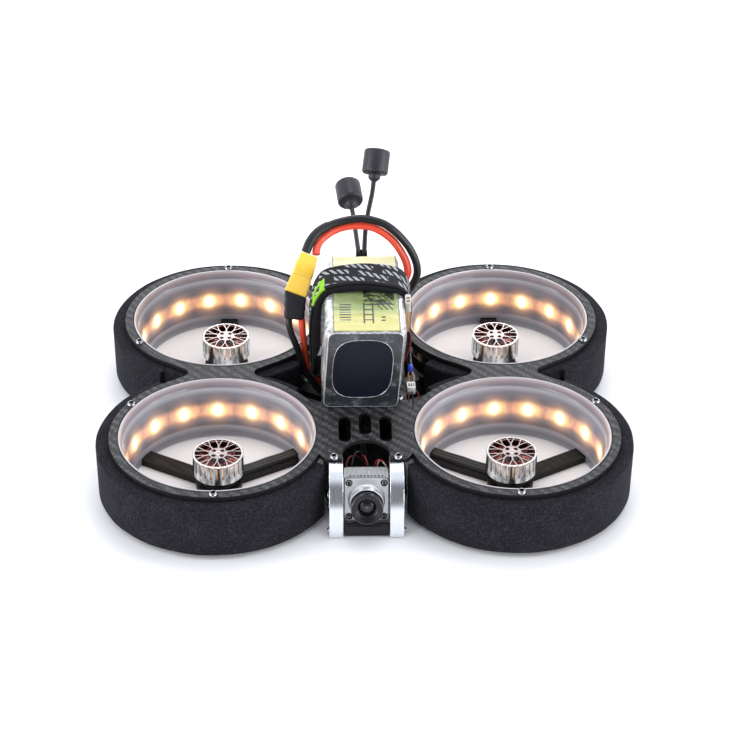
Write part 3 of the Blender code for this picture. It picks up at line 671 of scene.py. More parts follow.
def label_look(middle_x, front_y):
    """A yellow label under clear film, printed with plain bars and boxes, measured from its front edge."""
    look = Look("battery_label", (0.8, 0.75, 0.25), 0.35, Coat_Weight=0.2, Coat_Roughness=0.12)
    x, y, _ = look.axes()
    x = x - middle_x
    y = y - front_y
    ground = look.ramp(y / 66, [(0, (0.56, 0.50, 0.13)), (0.18, (0.46, 0.44, 0.08)),
                                (0.27, (0.16, 0.25, 0.02)), (0.46, (0.06, 0.12, 0.01)),
                                (0.76, (0.50, 0.52, 0.22)), (0.84, (0.70, 0.68, 0.42)),
                                (1, (0.66, 0.64, 0.28))])
    ground = look.mix(look.noise(5, 4) * 0.35, ground, (0.85, 0.83, 0.55))

    def inside(value, low, high):
        return (value > low) * (value < high)

    boxes = inside(abs(x - 1), 0, 2.3) * inside(y, 6, 23)
    frame_edge = abs(x - 1) > 1.55
    rungs = (y / 4.2).fract() < 0.22
    outline = boxes * frame_edge.maximum(rungs)
    slant = x + y * 0.55
    bars = ((slant / 2.3).fract() < 0.34) * (inside(x, 5, 12) * inside(y, 17, 31))
    ticks = ((y / 2.1).fract() < 0.45) * (inside(x, -11.5, -6.5) * inside(y, 7, 23))
    torn = look.noise(3.2, 4, 0.7, stretch=(1.6, 1, 1)) > 0.5
    splash = torn * (inside(x, -1, 12.5) * inside(y, 21, 34))
    dots = ((y / 2.6).fract() < 0.5) * (inside(x, 6.5, 8.3) * inside(y, 7, 12))
    print_mask = outline.maximum(bars.maximum(ticks))
    print_mask = print_mask.maximum(splash.maximum(dots))
    border = abs(x) > 13.9
    print_mask = print_mask.maximum(border * 0.8)
    look.drive("Base Color", look.mix(print_mask * 0.93, ground, (0.012, 0.014, 0.012)))
    look.bump(look.noise(5, 4, stretch=(1, 2.5, 1)), 0.5, 0.5)
    look.bump(look.noise(0.9, 3), 0.05, 0.5)
    return look.material


def strap_look(patch):
    """Black webbing printed with rows of slanted bars, and a plain green patch on one shoulder."""
    look = Look("webbing", (0.02, 0.02, 0.023), 0.8, Specular_IOR_Level=0.25)
    cloth = look.add("Attribute", {}, 1, attribute_name="cloth")
    u, v, _ = look.axes(cloth, 1)
    ribs = (u * 1.5).pingpong(0.5)
    picks = (v * 1.1).pingpong(0.5)
    weave = ribs * (picks + 0.4)
    fuzz = look.noise(0.5, 4, 0.7)

    rows = (u * 0.3 + v) / 5.8
    row_share = abs(rows.fract() - 0.5)
    group = (u / 17 + rows.floor() * 0.38).fract()
    bars = ((v * 0.55 + u) / 2.6).fract()
    ink = (row_share < 0.3) * ((group < 0.76) * (bars < 0.52))
    ink = ink * (v > 5.9)
    colour = look.mix(fuzz, (0.003, 0.003, 0.005), (0.020, 0.021, 0.027))
    colour = look.mix(ink * (fuzz * 0.9 + 0.1), colour, (0.66, 0.67, 0.71))
    from_u = abs(u - patch[0])
    from_v = abs(v - patch[1])
    green = (from_u < 4.4) * (from_v < 4.6)
    green_hole = (from_u < 1.9) * (from_v < 1.9)
    green = green * (1 - green_hole)
    look.drive("Base Color", look.mix(green, colour, (0.25, 0.55, 0.03)))
    look.bump(weave, 0.25, 0.7)
    look.bump(fuzz, 0.2, 0.6)
    return look.material


def board_look():
    look = Look("circuit_board", (0.01, 0.02, 0.03), 0.35, Coat_Weight=0.4, Coat_Roughness=0.2)
    tracks = look.add("TexBrick", {"Vector": look.place, "Scale": 420, "Mortar Size": 0.08,
                                   "Color1": (0.006, 0.010, 0.014, 1), "Color2": (0.012, 0.020, 0.026, 1),
                                   "Mortar": (0.05, 0.06, 0.05, 1)})
    look.drive("Base Color", tracks)
    look.bump(look.noise(1), 0.05)
    return look.material


LOOKS = {
    "carbon": carbon_look("carbon"),
    "carbon_dark": carbon_look("carbon_dark", dark=0.003, light=0.010),
    "foam": foam_look(),
    "duct_outside": duct_look(),
    "bell": bell_look(),
    "winding": winding_look(),
    "painted_slot_glow": slot_glow_look(),
    "bracket": metal_look("aluminium", (0.84, 0.87, 0.92), 0.25, stretch=(1, 30, 30), depth=0.0005),
    "camera": metal_look("camera_metal", (0.66, 0.67, 0.68), 0.36, grain=0.25, depth=0.01, metallic=0.75),
    # A lighter, less metallic copy of the camera metal for the finned body: painted light.
    "fins": metal_look("camera_fins_painted_light", (0.88, 0.89, 0.89), 0.4, grain=0.25, depth=0.01, metallic=0.5),
    "dark_metal": speckled("black_metal", (0.008, 0.008, 0.010), 0.30, grain=0.25, Specular_IOR_Level=0.4),
    "screw": metal_look("screw_metal", (0.34, 0.34, 0.36), 0.18),
    "glass": glass_look(),
    "plastic": speckled("black_plastic", (0.008, 0.008, 0.010), 0.45, Specular_IOR_Level=0.3),
    "cap": speckled("cap_rubber", (0.016, 0.016, 0.022), 0.42, grain=0.3, Specular_IOR_Level=0.45),
    "wrap": wrap_look(),
    "rim": rim_look(),
    "navy": speckled("battery_end", (0.005, 0.006, 0.014), 0.35, grain=0.8, Specular_IOR_Level=0.25),
    "black_wire": speckled("black_wire", (0.006, 0.006, 0.008), 0.34, grain=0.5, Specular_IOR_Level=0.45),
    "red_wire": speckled("red_wire", (0.82, 0.075, 0.035), 0.34, grain=0.5, Coat_Weight=0.15),
    "white_wire": speckled("white_wire", (0.62, 0.42, 0.36), 0.4, grain=0.5),
    "orange_wire": speckled("orange_wire", (0.62, 0.18, 0.05), 0.4, grain=0.5),
    "dark_red_wire": speckled("dark_red_wire", (0.22, 0.015, 0.018), 0.4, grain=0.5),
    "blue": speckled("blue_plastic", (0.03, 0.07, 0.55), 0.3),
    "yellow": speckled("yellow_plug", (1, 0.58, 0.065), 0.30, grain=0.5, vary=0.10, Coat_Weight=0.3),
    "white": speckled("white_plug", (0.82, 0.81, 0.77), 0.35, vary=0.1),
    "clear": speckled("clear_plug", (0.52, 0.48, 0.43), 0.3, vary=0.5, grain=0.8),
    "boot": speckled("boot_rubber", (0.01, 0.01, 0.013), 0.45, grain=1.2, depth=0.2, Specular_IOR_Level=0.4),
    "gold": metal_look("gold_pins", (0.85, 0.60, 0.25), 0.3),
    "board": board_look(),
}


# ---------------------------------------------------------------- camera, light and floor

def make_view():
    """The camera looks down on the drone's front from a little to its left."""
    camera = bpy.data.objects.new("camera", bpy.data.cameras.new("camera"))
    bpy.context.scene.collection.objects.link(camera)
    camera.data.lens = 99.97
    camera.data.sensor_width = 36
    camera.data.clip_end = 50
    place = Vector((-18.93, -768.33, PLATE_TOP + 502.43))
    yaw, pitch, roll = (radians(v) for v in (1.6418, 33.135, 0.5873))
    ahead = Vector((sin(yaw) * cos(pitch), cos(yaw) * cos(pitch), -sin(pitch)))
    right = Vector((cos(yaw), -sin(yaw), 0))
    up = right.cross(ahead)
    turned_right = right * cos(roll) + up * sin(roll)
    turned_up = up * cos(roll) - right * sin(roll)
    axes = Matrix((turned_right, turned_up, -ahead)).transposed().to_4x4()
    camera.matrix_world = Matrix.Translation(place * MM) @ axes
    bpy.context.scene.camera = camera


def make_light(name, place, size, power):
    """A rectangular white lamp, aimed at the origin; its place and size are in metres."""
    lamp = bpy.data.lights.new(name, "AREA")
    lamp.shape = "RECTANGLE"
    lamp.size, lamp.size_y = size
    lamp.energy = power
    obj = bpy.data.objects.new(name, lamp)
    obj.location = place
    obj.rotation_euler = (-Vector(place)).to_track_quat("-Z", "Y").to_euler()
    bpy.context.scene.collection.objects.link(obj)


def make_studio():
    """A white floor under a white dome that is dimmer towards the viewer, with soft lights round it."""
    floor = bpy.data.meshes.new("floor")
    floor.from_pydata([(-4, -4, 0), (4, -4, 0), (4, 4, 0), (-4, 4, 0)], [], [(0, 1, 2, 3)])
    ground = bpy.data.objects.new("floor", floor)
    ground.location.z = -0.2 * MM
    look = Look("floor", (0.92, 0.92, 0.93), 0.6)
    look.drive("Base Color", look.mix(look.noise(300), (0.91, 0.91, 0.92), (0.93, 0.93, 0.94)))
    floor.materials.append(look.material)
    bpy.context.scene.collection.objects.link(ground)

    world = bpy.data.worlds.new("studio")
    world.use_nodes = True
    sky = Nodes(world.node_tree)
    direction = sky.add("TexCoord", {}, "Generated")
    colour = sky.ramp(sky.split(direction)[2] * 0.5 + 0.5, [
        (0, (0.78, 0.80, 0.86)), (0.5, (0.99, 1, 1.04)), (0.75, (0.88, 0.91, 0.97)), (1, (0.76, 0.79, 0.86))])
    toward = sky.add("VectorMath", {0: direction, 1: (0, -0.88, 0.47)}, 1, operation="DOT_PRODUCT")
    strength = sky.add("MapRange", {0: toward, 1: 0.80, 2: 0.97, 3: 1.16, 4: 0.18},
                       interpolation_type="SMOOTHSTEP")
    background = sky.nodes["Background"]
    sky.feed(background.inputs[0], colour)
    sky.feed(background.inputs[1], strength)
    bpy.context.scene.world = world

    make_light("key", (0.12, 0.30, 1.2), (0.7, 0.5), 3.2)
    make_light("front_left", (-0.95, -0.80, 0.30), (0.8, 0.30), 5)
    make_light("front_right", (0.95, -0.80, 0.30), (0.8, 0.30), 5)
    make_light("side_left", (-1.15, -0.15, 0.36), (0.35, 1.2), 6)
    make_light("side_right", (1.15, -0.15, 0.36), (0.35, 1.2), 6)
    make_light("back", (0, 1.15, 0.45), (1.4, 0.35), 7)
    bpy.context.scene.view_settings.view_transform = "Standard"


# ---------------------------------------------------------------- cords

BLACK_LEAD = ((-25.3, 32.4, 70.9), (-23.2, 35.6, 74.6), (-19.8, 39, 77.4), (-14.4, 42.2, 79.2),
              (-7.6, 44.2, 80.4), (0.1, 45.2, 80.8), (8.2, 45, 79), (13.4, 44.4, 76), (18.2, 43.8, 71.2),
              (22.2, 43.2, 65.6), (24.8, 42.4, 59.6), (25.4, 41.8, 54), (23.6, 41.4, 48.6),
              (20.2, 41.2, 43.6), (16.4, 41.2, 40.4), (13.4, 40.8, 39.2), (12.6, 38.2, 38.9))
RED_LEAD = ((-20.7, 32.4, 69.6), (-20.4, 34.8, 71.4), (-18.6, 39.2, 73), (-13.8, 43.4, 75),
            (-8.4, 45.4, 76.3), (-2, 46.2, 76.7), (4.6, 46, 75.9), (10, 45.4, 73.2),
            (14.3, 44.8, 69.4), (17.9, 43.8, 64.4), (20.5, 42.6, 58.8), (20.9, 41.8, 53.4),
            (17.8, 41.8, 48.6), (13.8, 41.8, 46.4), (10.6, 41, 45.8), (9.8, 38.3, 45.7))
BLACK_PIGTAIL = ((-33, 16.4, 46), (-33, 15.2, 43), (-32, 14.4, 39), (-30.2, 13.6, 34),
                 (-28.6, 13.2, 29.4), (-27.6, 12.7, 25), (-26.4, 12, 20.8), (-23.4, 10.9, 16.8),
                 (-20.8, 10.2, 12.8), (-18.4, 9.2, 9.8), (-15.1, 8.4, 8.8))
RED_PIGTAIL = ((-27.4, 16.3, 46), (-27, 15.4, 42), (-26.8, 15.4, 38), (-26.4, 15.8, 33.4),
               (-26.2, 16, 29.4), (-25.8, 15.8, 25), (-24.4, 15.2, 20.6), (-21.4, 14.6, 17.2),
               (-19.4, 14.2, 13.4), (-17.8, 13.2, 10), (-15.1, 12.4, 8.8))
CAMERA_LEAD = ((0, -57.4, 13), (0.2, -52, 14.6), (-0.6, -42, 15), (-0.4, -30, 15.6),
               (0, -20, 15.4), (0, -15.4, 15.2))
CORDS = {
    # name: route from the outer end, radius, look, what it ends in, pieces on it
    "battery_lead_black": (BLACK_LEAD, 1.8, "black_wire", "connector", ["battery_plug"]),
    "battery_lead_red": (RED_LEAD, 1.8, "red_wire", "connector", ["battery_plug"]),
    "power_lead_black": (BLACK_PIGTAIL, 1.5, "black_wire", "connector", ["power_socket", "socket_boot"]),
    "power_lead_red": (RED_PIGTAIL, 1.5, "red_wire", "connector", ["power_socket", "socket_boot"]),
    "camera_lead": (CAMERA_LEAD, 1.2, "black_wire", "object", []),
}


def make_cords():
    """The leads, each along its route."""
    for name, (points, radius, look, far_end, on_it) in CORDS.items():
        route = smooth_line(points[::-1], 1.5)
        curve = tube_curve(name + "_cover", route, radius)
        obj = piece(name + "_cover", curve, look, [name])


# ---------------------------------------------------------------- plates

def add_screw(name, place, radius=1.6, body="frame", matrix=None):
    """A round-headed screw with a six-sided recess; its head stands on `place`."""
    mesh = bpy.data.meshes.get("screw_mesh")
    if not mesh:
        bm = bmesh.new()
        socket = (0.52 * cos(radians(30)), 0.22)
        dome = [socket, (0.52, 0.62), (0.62, 0.66), (0.80, 0.55),
                (0.94, 0.34), (1, 0.10), (1, 0), (0, 0)]
        add_turned(bm, dome, 24)
        add_turned(bm, [(0, 0.22), socket], 24)
        mesh = finish_mesh(bm, "screw_mesh", 50)
    grown = Matrix.Diagonal((radius, radius, radius, 1))
    base = matrix or Matrix.Translation(Vector(place) * MM)
    obj = bpy.data.objects.new(name, mesh)
    bpy.context.scene.collection.objects.link(obj)
    if not mesh.materials:
        mesh.materials.append(LOOKS["screw"])
        mesh.materials.append(LOOKS["plastic"])
        # The six-sided recess takes the black plastic: painted shade in the socket.
        for face in mesh.polygons:
            face.material_index = int(hypot(face.center.x, face.center.y) < 0.55 * MM)
    obj.matrix_world = base @ grown
    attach(obj, body)


def pocket_tip(side):
    """Half of the rounded end of a pocket; side 1 is the outer pocket, -1 the inner one."""
    centre = (MOTOR_X + side * (TIP_OFFSET + TIP_RADIUS), 0)
    if side > 0:
        return arc(centre, TIP_RADIUS, 180, 115, 8)
    return arc(centre, TIP_RADIUS, 0, 65, 8)


def ring_angle(x=None, y=None):
    """Where the plate's edge round a motor meets a line of constant x or y, in degrees."""
    if x is not None:
        return degrees(acos((x - MOTOR_X) / RING_OUTER))
    return degrees(asin((y - MOTOR_Y) / RING_OUTER))


def whole_outline(rear, front):
    """A closed outline from its right rear and right front halves, both given with y upwards."""
    right = [(x, -y) for x, y in reversed(front)] + rear[1:]
    left = [(-x, y) for x, y in reversed(right[1:-1])]
    return right + left


def make_top_plate():
    outer = MOTOR_X + TIP_OFFSET + 2 * TIP_RADIUS
    inner = MOTOR_X - TIP_OFFSET - 2 * TIP_RADIUS
    centre = (MOTOR_X, MOTOR_Y)
    tab = -TAB_FRONT
    rear = (pocket_tip(1) + arc(centre, RING_OUTER, -ring_angle(x=outer), 180 - ring_angle(y=REAR_EDGE))
            + [(0, REAR_EDGE)])
    front = (pocket_tip(1) + arc(centre, RING_OUTER, -ring_angle(x=outer), 180 - ring_angle(y=tab - 4.3))
             + [(17.2, tab), (10, tab)] + arc((0, tab - 4.3), 10, 0, -90, 5))
    pocket = (pocket_tip(-1) + arc(centre, RING_OUTER, -ring_angle(x=inner), -ring_angle(x=20.9))
              + [(19.3, 26), (BODY_HALF, 23)])
    pocket = pocket + [(x, -y) for x, y in reversed(pocket[1:])]
    holes = [pocket, [(-x, y) for x, y in pocket], slot(0, 50, 60, 6)]
    holes += [circle(motor_place(corner)[:2], RING_HOLE) for corner in CORNERS]
    holes += [slot(-8.75, -54.2, -35.2, 5.2), slot(0, -49, -32.6, 5.2), slot(8.75, -54.2, -35.2, 5.2)]
    mesh = prism("top_plate_fine", whole_outline(rear, front), PLATE_BOTTOM, PLATE_TOP, holes)
    piece("top_plate_fine", mesh, "carbon", ["top_plate"], bevel=0.22)

    for corner, (sx, sy) in CORNERS.items():
        x, y, _ = motor_place(corner)
        for i, angle in enumerate(ARMS[1:]):
            a = radians(angle)
            place = (x - sx * SCREW_CIRCLE * cos(a), y - sy * SCREW_CIRCLE * sin(a), PLATE_TOP)
            add_screw(f"duct_screw_{corner}_{i + 1}", place, 1.95)
    deck = {"camera_left": (-13.5, -65.9), "camera_right": (13.5, -65.9), "front_left": (-15.4, -21.6),
            "front_right": (15.4, -21.6), "rear_left": (-13.5, 52), "rear_right": (13.5, 52)}
    for name, (x, y) in deck.items():
        add_screw("deck_screw_" + name, (x, y, PLATE_TOP), 2)


def star_outline():
    """Right rear part of the lower plate: from the plate's side, round the motor hub and its arms."""
    centre = Vector((MOTOR_X, MOTOR_Y))
    spread = degrees(asin(ARM_HALF / HUB_RADIUS))
    inward = Vector((-cos(radians(30)), -sin(radians(30))))
    across = Vector((-inward.y, inward.x))

    def on_plate_side(side):
        start = centre + side * ARM_HALF * across
        return start + inward * (start.x - LOWER_HALF) / -inward.x

    points = [tuple(on_plate_side(1))]
    for arm in (330, 90):
        direction = Vector((cos(radians(arm)), sin(radians(arm))))
        normal = Vector((-direction.y, direction.x))
        points += arc(centre, HUB_RADIUS, arm - 120 + spread, arm - spread, 6)
        points += [tuple(centre + direction * ARM_END - normal * ARM_HALF),
                   tuple(centre + direction * ARM_END + normal * ARM_HALF)]
    points += arc(centre, HUB_RADIUS, 90 + spread, 210 - spread, 6)
    points.append(tuple(on_plate_side(-1)))
    return points


def make_bottom_plate():
    star = star_outline()
    rear = [(LOWER_HALF, 0)] + star + [(LOWER_HALF, 57), (15, 60), (0, 60)]
    front = ([(LOWER_HALF, 0)] + star
             + [(LOWER_HALF, 52), (16.2, 56), (16.2, 66), (9.9, 66), (9.9, 57.5), (0, 57.5)])
    mesh = prism("bottom_plate_fine", whole_outline(rear, front), 0, LOWER_TOP)
    piece("bottom_plate_fine", mesh, "carbon_dark", ["bottom_plate"], bevel=0.3)


# ---------------------------------------------------------------- ducts, bumpers and lights

DUCT_SECTION = ((41.5, 28.2), (41.35, 27.8), (41.15, 25.4), (40.85, 24.5), (40.45, 24.1), (40.35, 23.5),
                (39.9, 20.5), (39.35, 16), (39.1, 12), (38.95, 8), (38.75, 6.9), (38.35, 6.3),
                (38.3, 5.6), (38.1, 4), (37.85, 2.4), (37.75, 0.5), (37.95, 0), (38.8, 0),
                (39, 0.4), (40.1, 6), (40.4, 17.5), (41.6, 22.4), (42, 23.7), (45.4, 23.7),
                (45.4, 25.7), (42.3, 25.7), (42.3, 28), (42.1, 28.2))


def make_duct(corner):
    """The flared ring, raised over the three arms at its lower edge."""
    sx, sy = CORNERS[corner]
    notch = degrees(asin((ARM_HALF + 0.3) / 38))
    arms = [degrees(atan2(-sy * sin(radians(a)), -sx * cos(radians(a))))
            for a in ARMS]
    angles = [(i * 2.5, False) for i in range(144)]
    for arm in arms:
        arm %= 360
        angles = [(a, inside or abs((a - arm + 180) % 360 - 180) < notch) for a, inside in angles]
        angles += [((arm + side * (notch + gap)) % 360, gap < 0) for side in (-1, 1) for gap in (-0.05, 0.05)]
    sections = []
    for angle, over_arm in sorted(angles):
        c, s = cos(radians(angle)), sin(radians(angle))
        lift = LOWER_TOP + 0.3 if over_arm else 0
        sections.append([(r * c, r * s, max(z, lift)) for r, z in DUCT_SECTION])
    name = "duct_fine_" + corner
    mesh = loft(name, sections, ring=True, smooth_angle=30)
    piece(name, mesh, duct_look(FIRST_LIGHT[corner]), ["duct_" + corner], motor_place(corner))
    mesh.materials.append(LOOKS["duct_outside"])
    for face in mesh.polygons:
        face.material_index = int(face.normal.x * face.center.x + face.normal.y * face.center.y > 0)


def foam_section(outer):
    """The bumper's section: square inside, generously rounded outside."""
    return (arc((FOAM_INNER + 0.3, FOAM_BOTTOM + 0.3), 0.3, 180, 270, 45)
            + arc((outer - 1.3, FOAM_BOTTOM + 1.3), 1.3, 270, 360, 18)
            + arc((outer - 1, FOAM_TOP - 1), 1, 0, 90, 15)
            + arc((FOAM_INNER + 0.4, FOAM_TOP - 0.4), 0.4, 90, 180, 45))


def make_foam(corner):
    """A foam band round the duct, flat where it meets the bumper before or behind it."""
    sx, sy = CORNERS[corner]
    start, thin_from, thin_to, end, step = 47, 90, 122, 336, 2
    angles = [start + i * step for i in range(int((end - start) / step))] + [end]
    angles += [thin_from - 0.5, thin_from + 0.5, thin_to - 0.4, thin_to + 0.4]
    sections = []
    for angle in sorted(angles):
        outer = FOAM_THIN if thin_from < angle < thin_to else FOAM_OUTER
        c, s = cos(radians(angle)), sin(radians(angle))
        section = []
        for r, z in foam_section(outer):
            x, y = max(MOTOR_X - r * c, FOAM_END), max(MOTOR_Y - r * s, 0.15)
            wave = noise.noise(Vector((sx * x, sy * y, z)) / 11) * 0.22
            section.append((sx * (x - wave * c), sy * max(y - wave * s, 0.15), z))
        sections.append(section)
    name = "foam_fine_" + corner
    mesh = loft(name, sections, smooth_angle=42)
    obj = piece(name, mesh, "foam", ["foam_bumper_" + corner])


def make_strip(corner):
    """The light strip round the duct's outside, with a small lamp at each light."""
    name = "strip_fine_" + corner
    bm = bmesh.new()
    add_turned(bm, [(41.9, 15.8), (41.9, 10.2), (42.2, 10.2), (42.2, 15.8)], 96, closed=True)
    for i in range(LIGHTS):
        turn = Matrix.Rotation(radians(FIRST_LIGHT[corner]) + tau * i / LIGHTS, 4, "Z")
        outline = rounded_box((41, -2.4), (41.95, 2.4), 0.3, 45)
        add_prism(bm, outline, 11.2, 14.8, turn=turn)
    mesh = finish_mesh(bm, name)
    piece(name, mesh, strip_look(FIRST_LIGHT[corner]), ["light_strip_" + corner],
          motor_place(corner))


# ---------------------------------------------------------------- motors

# Parts of a window's outline: radius, first and last angle from its middle, step
LONG_WINDOW = ((WINDOW_OUT, -7.4, 7.4, 3.2), (6.1, 14.9, 14.8, 1), (4, 12.6, -12.6, 5),
               (6.1, -14.8, -14.9, 1))
SHORT_WINDOW = ((WINDOW_OUT, -7.2, 7.2, 3.2), (6.7, 1.3, -1.3, 1.3))


def bell_cap_holes():
    """The windows in the bell's top: long ones, short ones between their forks, and four round ones."""
    def window(middle, parts):
        return [point for radius, start, end, step in parts
                for point in arc((0, 0), radius, middle + start, middle + end, step)]

    windows, holes = 10, []
    for i in range(windows):
        middle = i * 360 / windows
        holes += [window(middle, LONG_WINDOW), window(middle + 180 / windows, SHORT_WINDOW)]
    holes += [circle((2.55 * cos(a), 2.55 * sin(a)), 1, 14) for a in (pi / 4 + i * pi / 2 for i in range(4))]
    return holes


def bell_mesh():
    """The bell: pierced top, rounded shoulder and a wall with narrow upright slots."""
    bm = bmesh.new()
    add_prism(bm, circle((0, 0), 10.35, 104), BELL_TOP - 0.75, BELL_TOP - 0.05, bell_cap_holes())
    add_turned(bm, [(10.2, BELL_TOP - 0.8), (10.2, BELL_TOP), (10.7, BELL_TOP), (10.93, BELL_TOP - 0.15),
                    (BELL_RADIUS, BELL_TOP - 0.4), (BELL_RADIUS, BELL_TOP - 0.8)], 104, closed=True)
    slots, low, high = 26, BELL_BOTTOM + 3.3, BELL_TOP - 0.8
    add_turned(bm, [(10.1, BELL_BOTTOM), (10.1, low), (BELL_RADIUS, low), (BELL_RADIUS, BELL_BOTTOM + 0.3),
                    (BELL_RADIUS - 0.3, BELL_BOTTOM)], 104, closed=True)
    for i in range(slots):
        half = 180 / slots * 0.74
        outline = (arc((0, 0), BELL_RADIUS, -half, half, 2) + arc((0, 0), 10.3, half, -half, 2))
        add_prism(bm, outline, low - 0.02, high + 0.02, turn=Matrix.Rotation(tau * i / slots, 4, "Z"))
    add_turned(bm, [(0, BELL_TOP), (0.62, BELL_TOP), (0.75, BELL_TOP - 0.15), (0.75, 4.8), (0, 4.8)], 20)
    add_turned(bm, [(0.95, BELL_TOP - 0.04), (1.25, BELL_TOP), (1.4, BELL_TOP - 0.04), (1.4, BELL_TOP - 0.3),
                    (0.95, BELL_TOP - 0.3)], 24, closed=True)
    return finish_mesh(bm, "bell_fine", 32)


def stator_mesh():
    """Nine wound teeth round a core, standing on a flanged base."""
    bm = bmesh.new()
    for i in range(9):
        turn = Matrix.Rotation(tau * i / 9, 4, "Z") @ SIDE_VIEW
        add_prism(bm, rounded_box((-1.9, 8.9), (1.9, 14.6), 1.2, 15), 3.9, 8.9, turn=turn)
        add_prism(bm, rounded_box((-2.6, 9.6), (2.6, 13.9), 0.4, 30), 8.95, 9.5, turn=turn)
    return finish_mesh(bm, "stator_fine", 40)


def make_motor(corner):
    place = motor_place(corner)
    base = bpy.data.meshes.get("motor_base") or turned(
        "motor_base", [(1.2, 14.2), (1.2, 3.3), (8, 3.3), (8.2, 3.5), (8.2, 4.7), (7.9, 4.95), (5.4, 6),
                       (5.2, 6.4), (5.2, 7.4), (3.6, 8.6), (3.6, 14.2)], 48, closed=True)
    bell = bpy.data.meshes.get("bell_fine") or bell_mesh()
    stator = bpy.data.meshes.get("stator_fine") or stator_mesh()
    top = BELL_TOP - 0.9
    sleeve = bpy.data.meshes.get("magnet_sleeve") or turned(
        "magnet_sleeve", [(9.75, top), (9.75, 8.2), (10.05, 8.2), (10.05, top)], 78, closed=True)
    piece("motor_base_" + corner, base, "dark_metal", (), place)
    piece("stator_fine_" + corner, stator, "winding", ["motor_stator_" + corner], place)
    piece("bell_fine_" + corner, bell, "bell", ["motor_bell_" + corner], place, BELL_TURN,
          body="rotor_" + corner)
    # The sleeve carries the painted glow seen through the bell's slots.
    piece("magnet_sleeve_" + corner, sleeve, "painted_slot_glow", (), place, BELL_TURN, body="rotor_" + corner)


def make_motor_wires(corner):
    """Three motor wires under one shrunk sleeve, on top of the arm that leads to the body."""
    sx, sy = CORNERS[corner]
    x, y, _ = motor_place(corner)
    direction = Vector((-sx * cos(radians(30)), -sy * sin(radians(30)), 0))
    side = Vector((-direction.y, direction.x, 0))
    ridges = []
    for k in (-1, 0, 1):
        ridges += arc((k * 1.75, LOWER_TOP + 1), 0.95, 150, 30, 30)
    outline = [(-2.7, LOWER_TOP + 0.05)] + ridges + [(2.7, LOWER_TOP + 0.05)]
    sections = []
    for i in range(19):
        along = 8.6 + i * 1.82
        rise = 0.105 * sin(i * 0.9)
        squeeze = 0.8 if i in (0, 18) else 1
        middle = Vector((x, y, 0)) + direction * along
        sections.append([tuple(middle + side * (u * squeeze) + Vector((0, 0, w + rise))) for u, w in outline])
    name = "motor_wire_sleeve_" + corner
    piece(name, loft(name, sections, smooth_angle=50), "black_wire")


# ---------------------------------------------------------------- camera

def tilted():
    """The camera's own frame: level in x and y, then tilted up about its pivot."""
    return (Matrix.Translation(Vector((0, CAMERA_Y, CAMERA_Z)) * MM)
            @ Matrix.Rotation(radians(-CAMERA_TILT), 4, "X"))


def make_bracket(side):
    """A cage cheek: a curved front bar, a web with the camera's pivot hole, and two feet."""
    sx = SIDES[side]
    curve = smooth_line([(-68.8, 27.2), (-72.4, 26.4), (-75.6, 24.5), (-78.4, 21.8), (-80.8, 18.2),
                         (-82.6, 14.5), (-83.8, 10), (-84.5, 5.5), (-85.2, 2.2)], 1.2)
    front_bar = [(-67.6, 25.7), (-67.6, 26.9)] + [tuple(p) for p in curve] + [(-85.2, 0.3)]
    feet = [(-66.4, 0.3), (-66.4, 3.3), (-59.5, 3.3), (-59.5, 5.8), (-66.4, 7),
            (-66.4, 21), (-61.5, 23.2), (-61.5, 25.7)]
    inner = smooth_line([(-73.6, 22.6), (-76.2, 20.2), (-78.4, 17), (-80, 13.8), (-81, 9.8), (-81.5, 5.2)],
                        1.2)
    window = [tuple(p) for p in inner] + [(-80.6, 3.3), (-73.6, 3.3)]
    x0, x1 = (BRACKET_IN, BRACKET_OUT) if sx > 0 else (-BRACKET_OUT, -BRACKET_IN)
    name = "bracket_fine_" + side
    cheek = prism(name, front_bar + feet, x0, x1, [window, circle((CAMERA_Y, CAMERA_Z), 1.25, 24)], SIDE_VIEW)
    piece(name, cheek, "bracket", ["camera_bracket_" + side], bevel=0.35)
    outward = Matrix.Rotation(radians(90 * sx), 4, "Y")
    for label, (y, z) in {"front": (-82.6, 2.4), "rear": (-68.4, 4.8)}.items():
        at = Matrix.Translation(Vector((sx * BRACKET_OUT, y, z)) * MM) @ outward
        add_screw(f"cheek_screw_{side}_{label}", None, 1.35, matrix=at)


def make_cross_bar():
    outline = [(-84.2, 0.4), (-84.2, 5.4), (-82.5, 5.8), (-75.9, 1.1), (-75.9, 0.4)]
    half = BRACKET_IN - 0.3
    mesh = prism("cross_bar_fine", outline, -half, half, turn=SIDE_VIEW)
    piece("cross_bar_fine", mesh, "plastic", ["camera_cross_bar"], bevel=0.3)


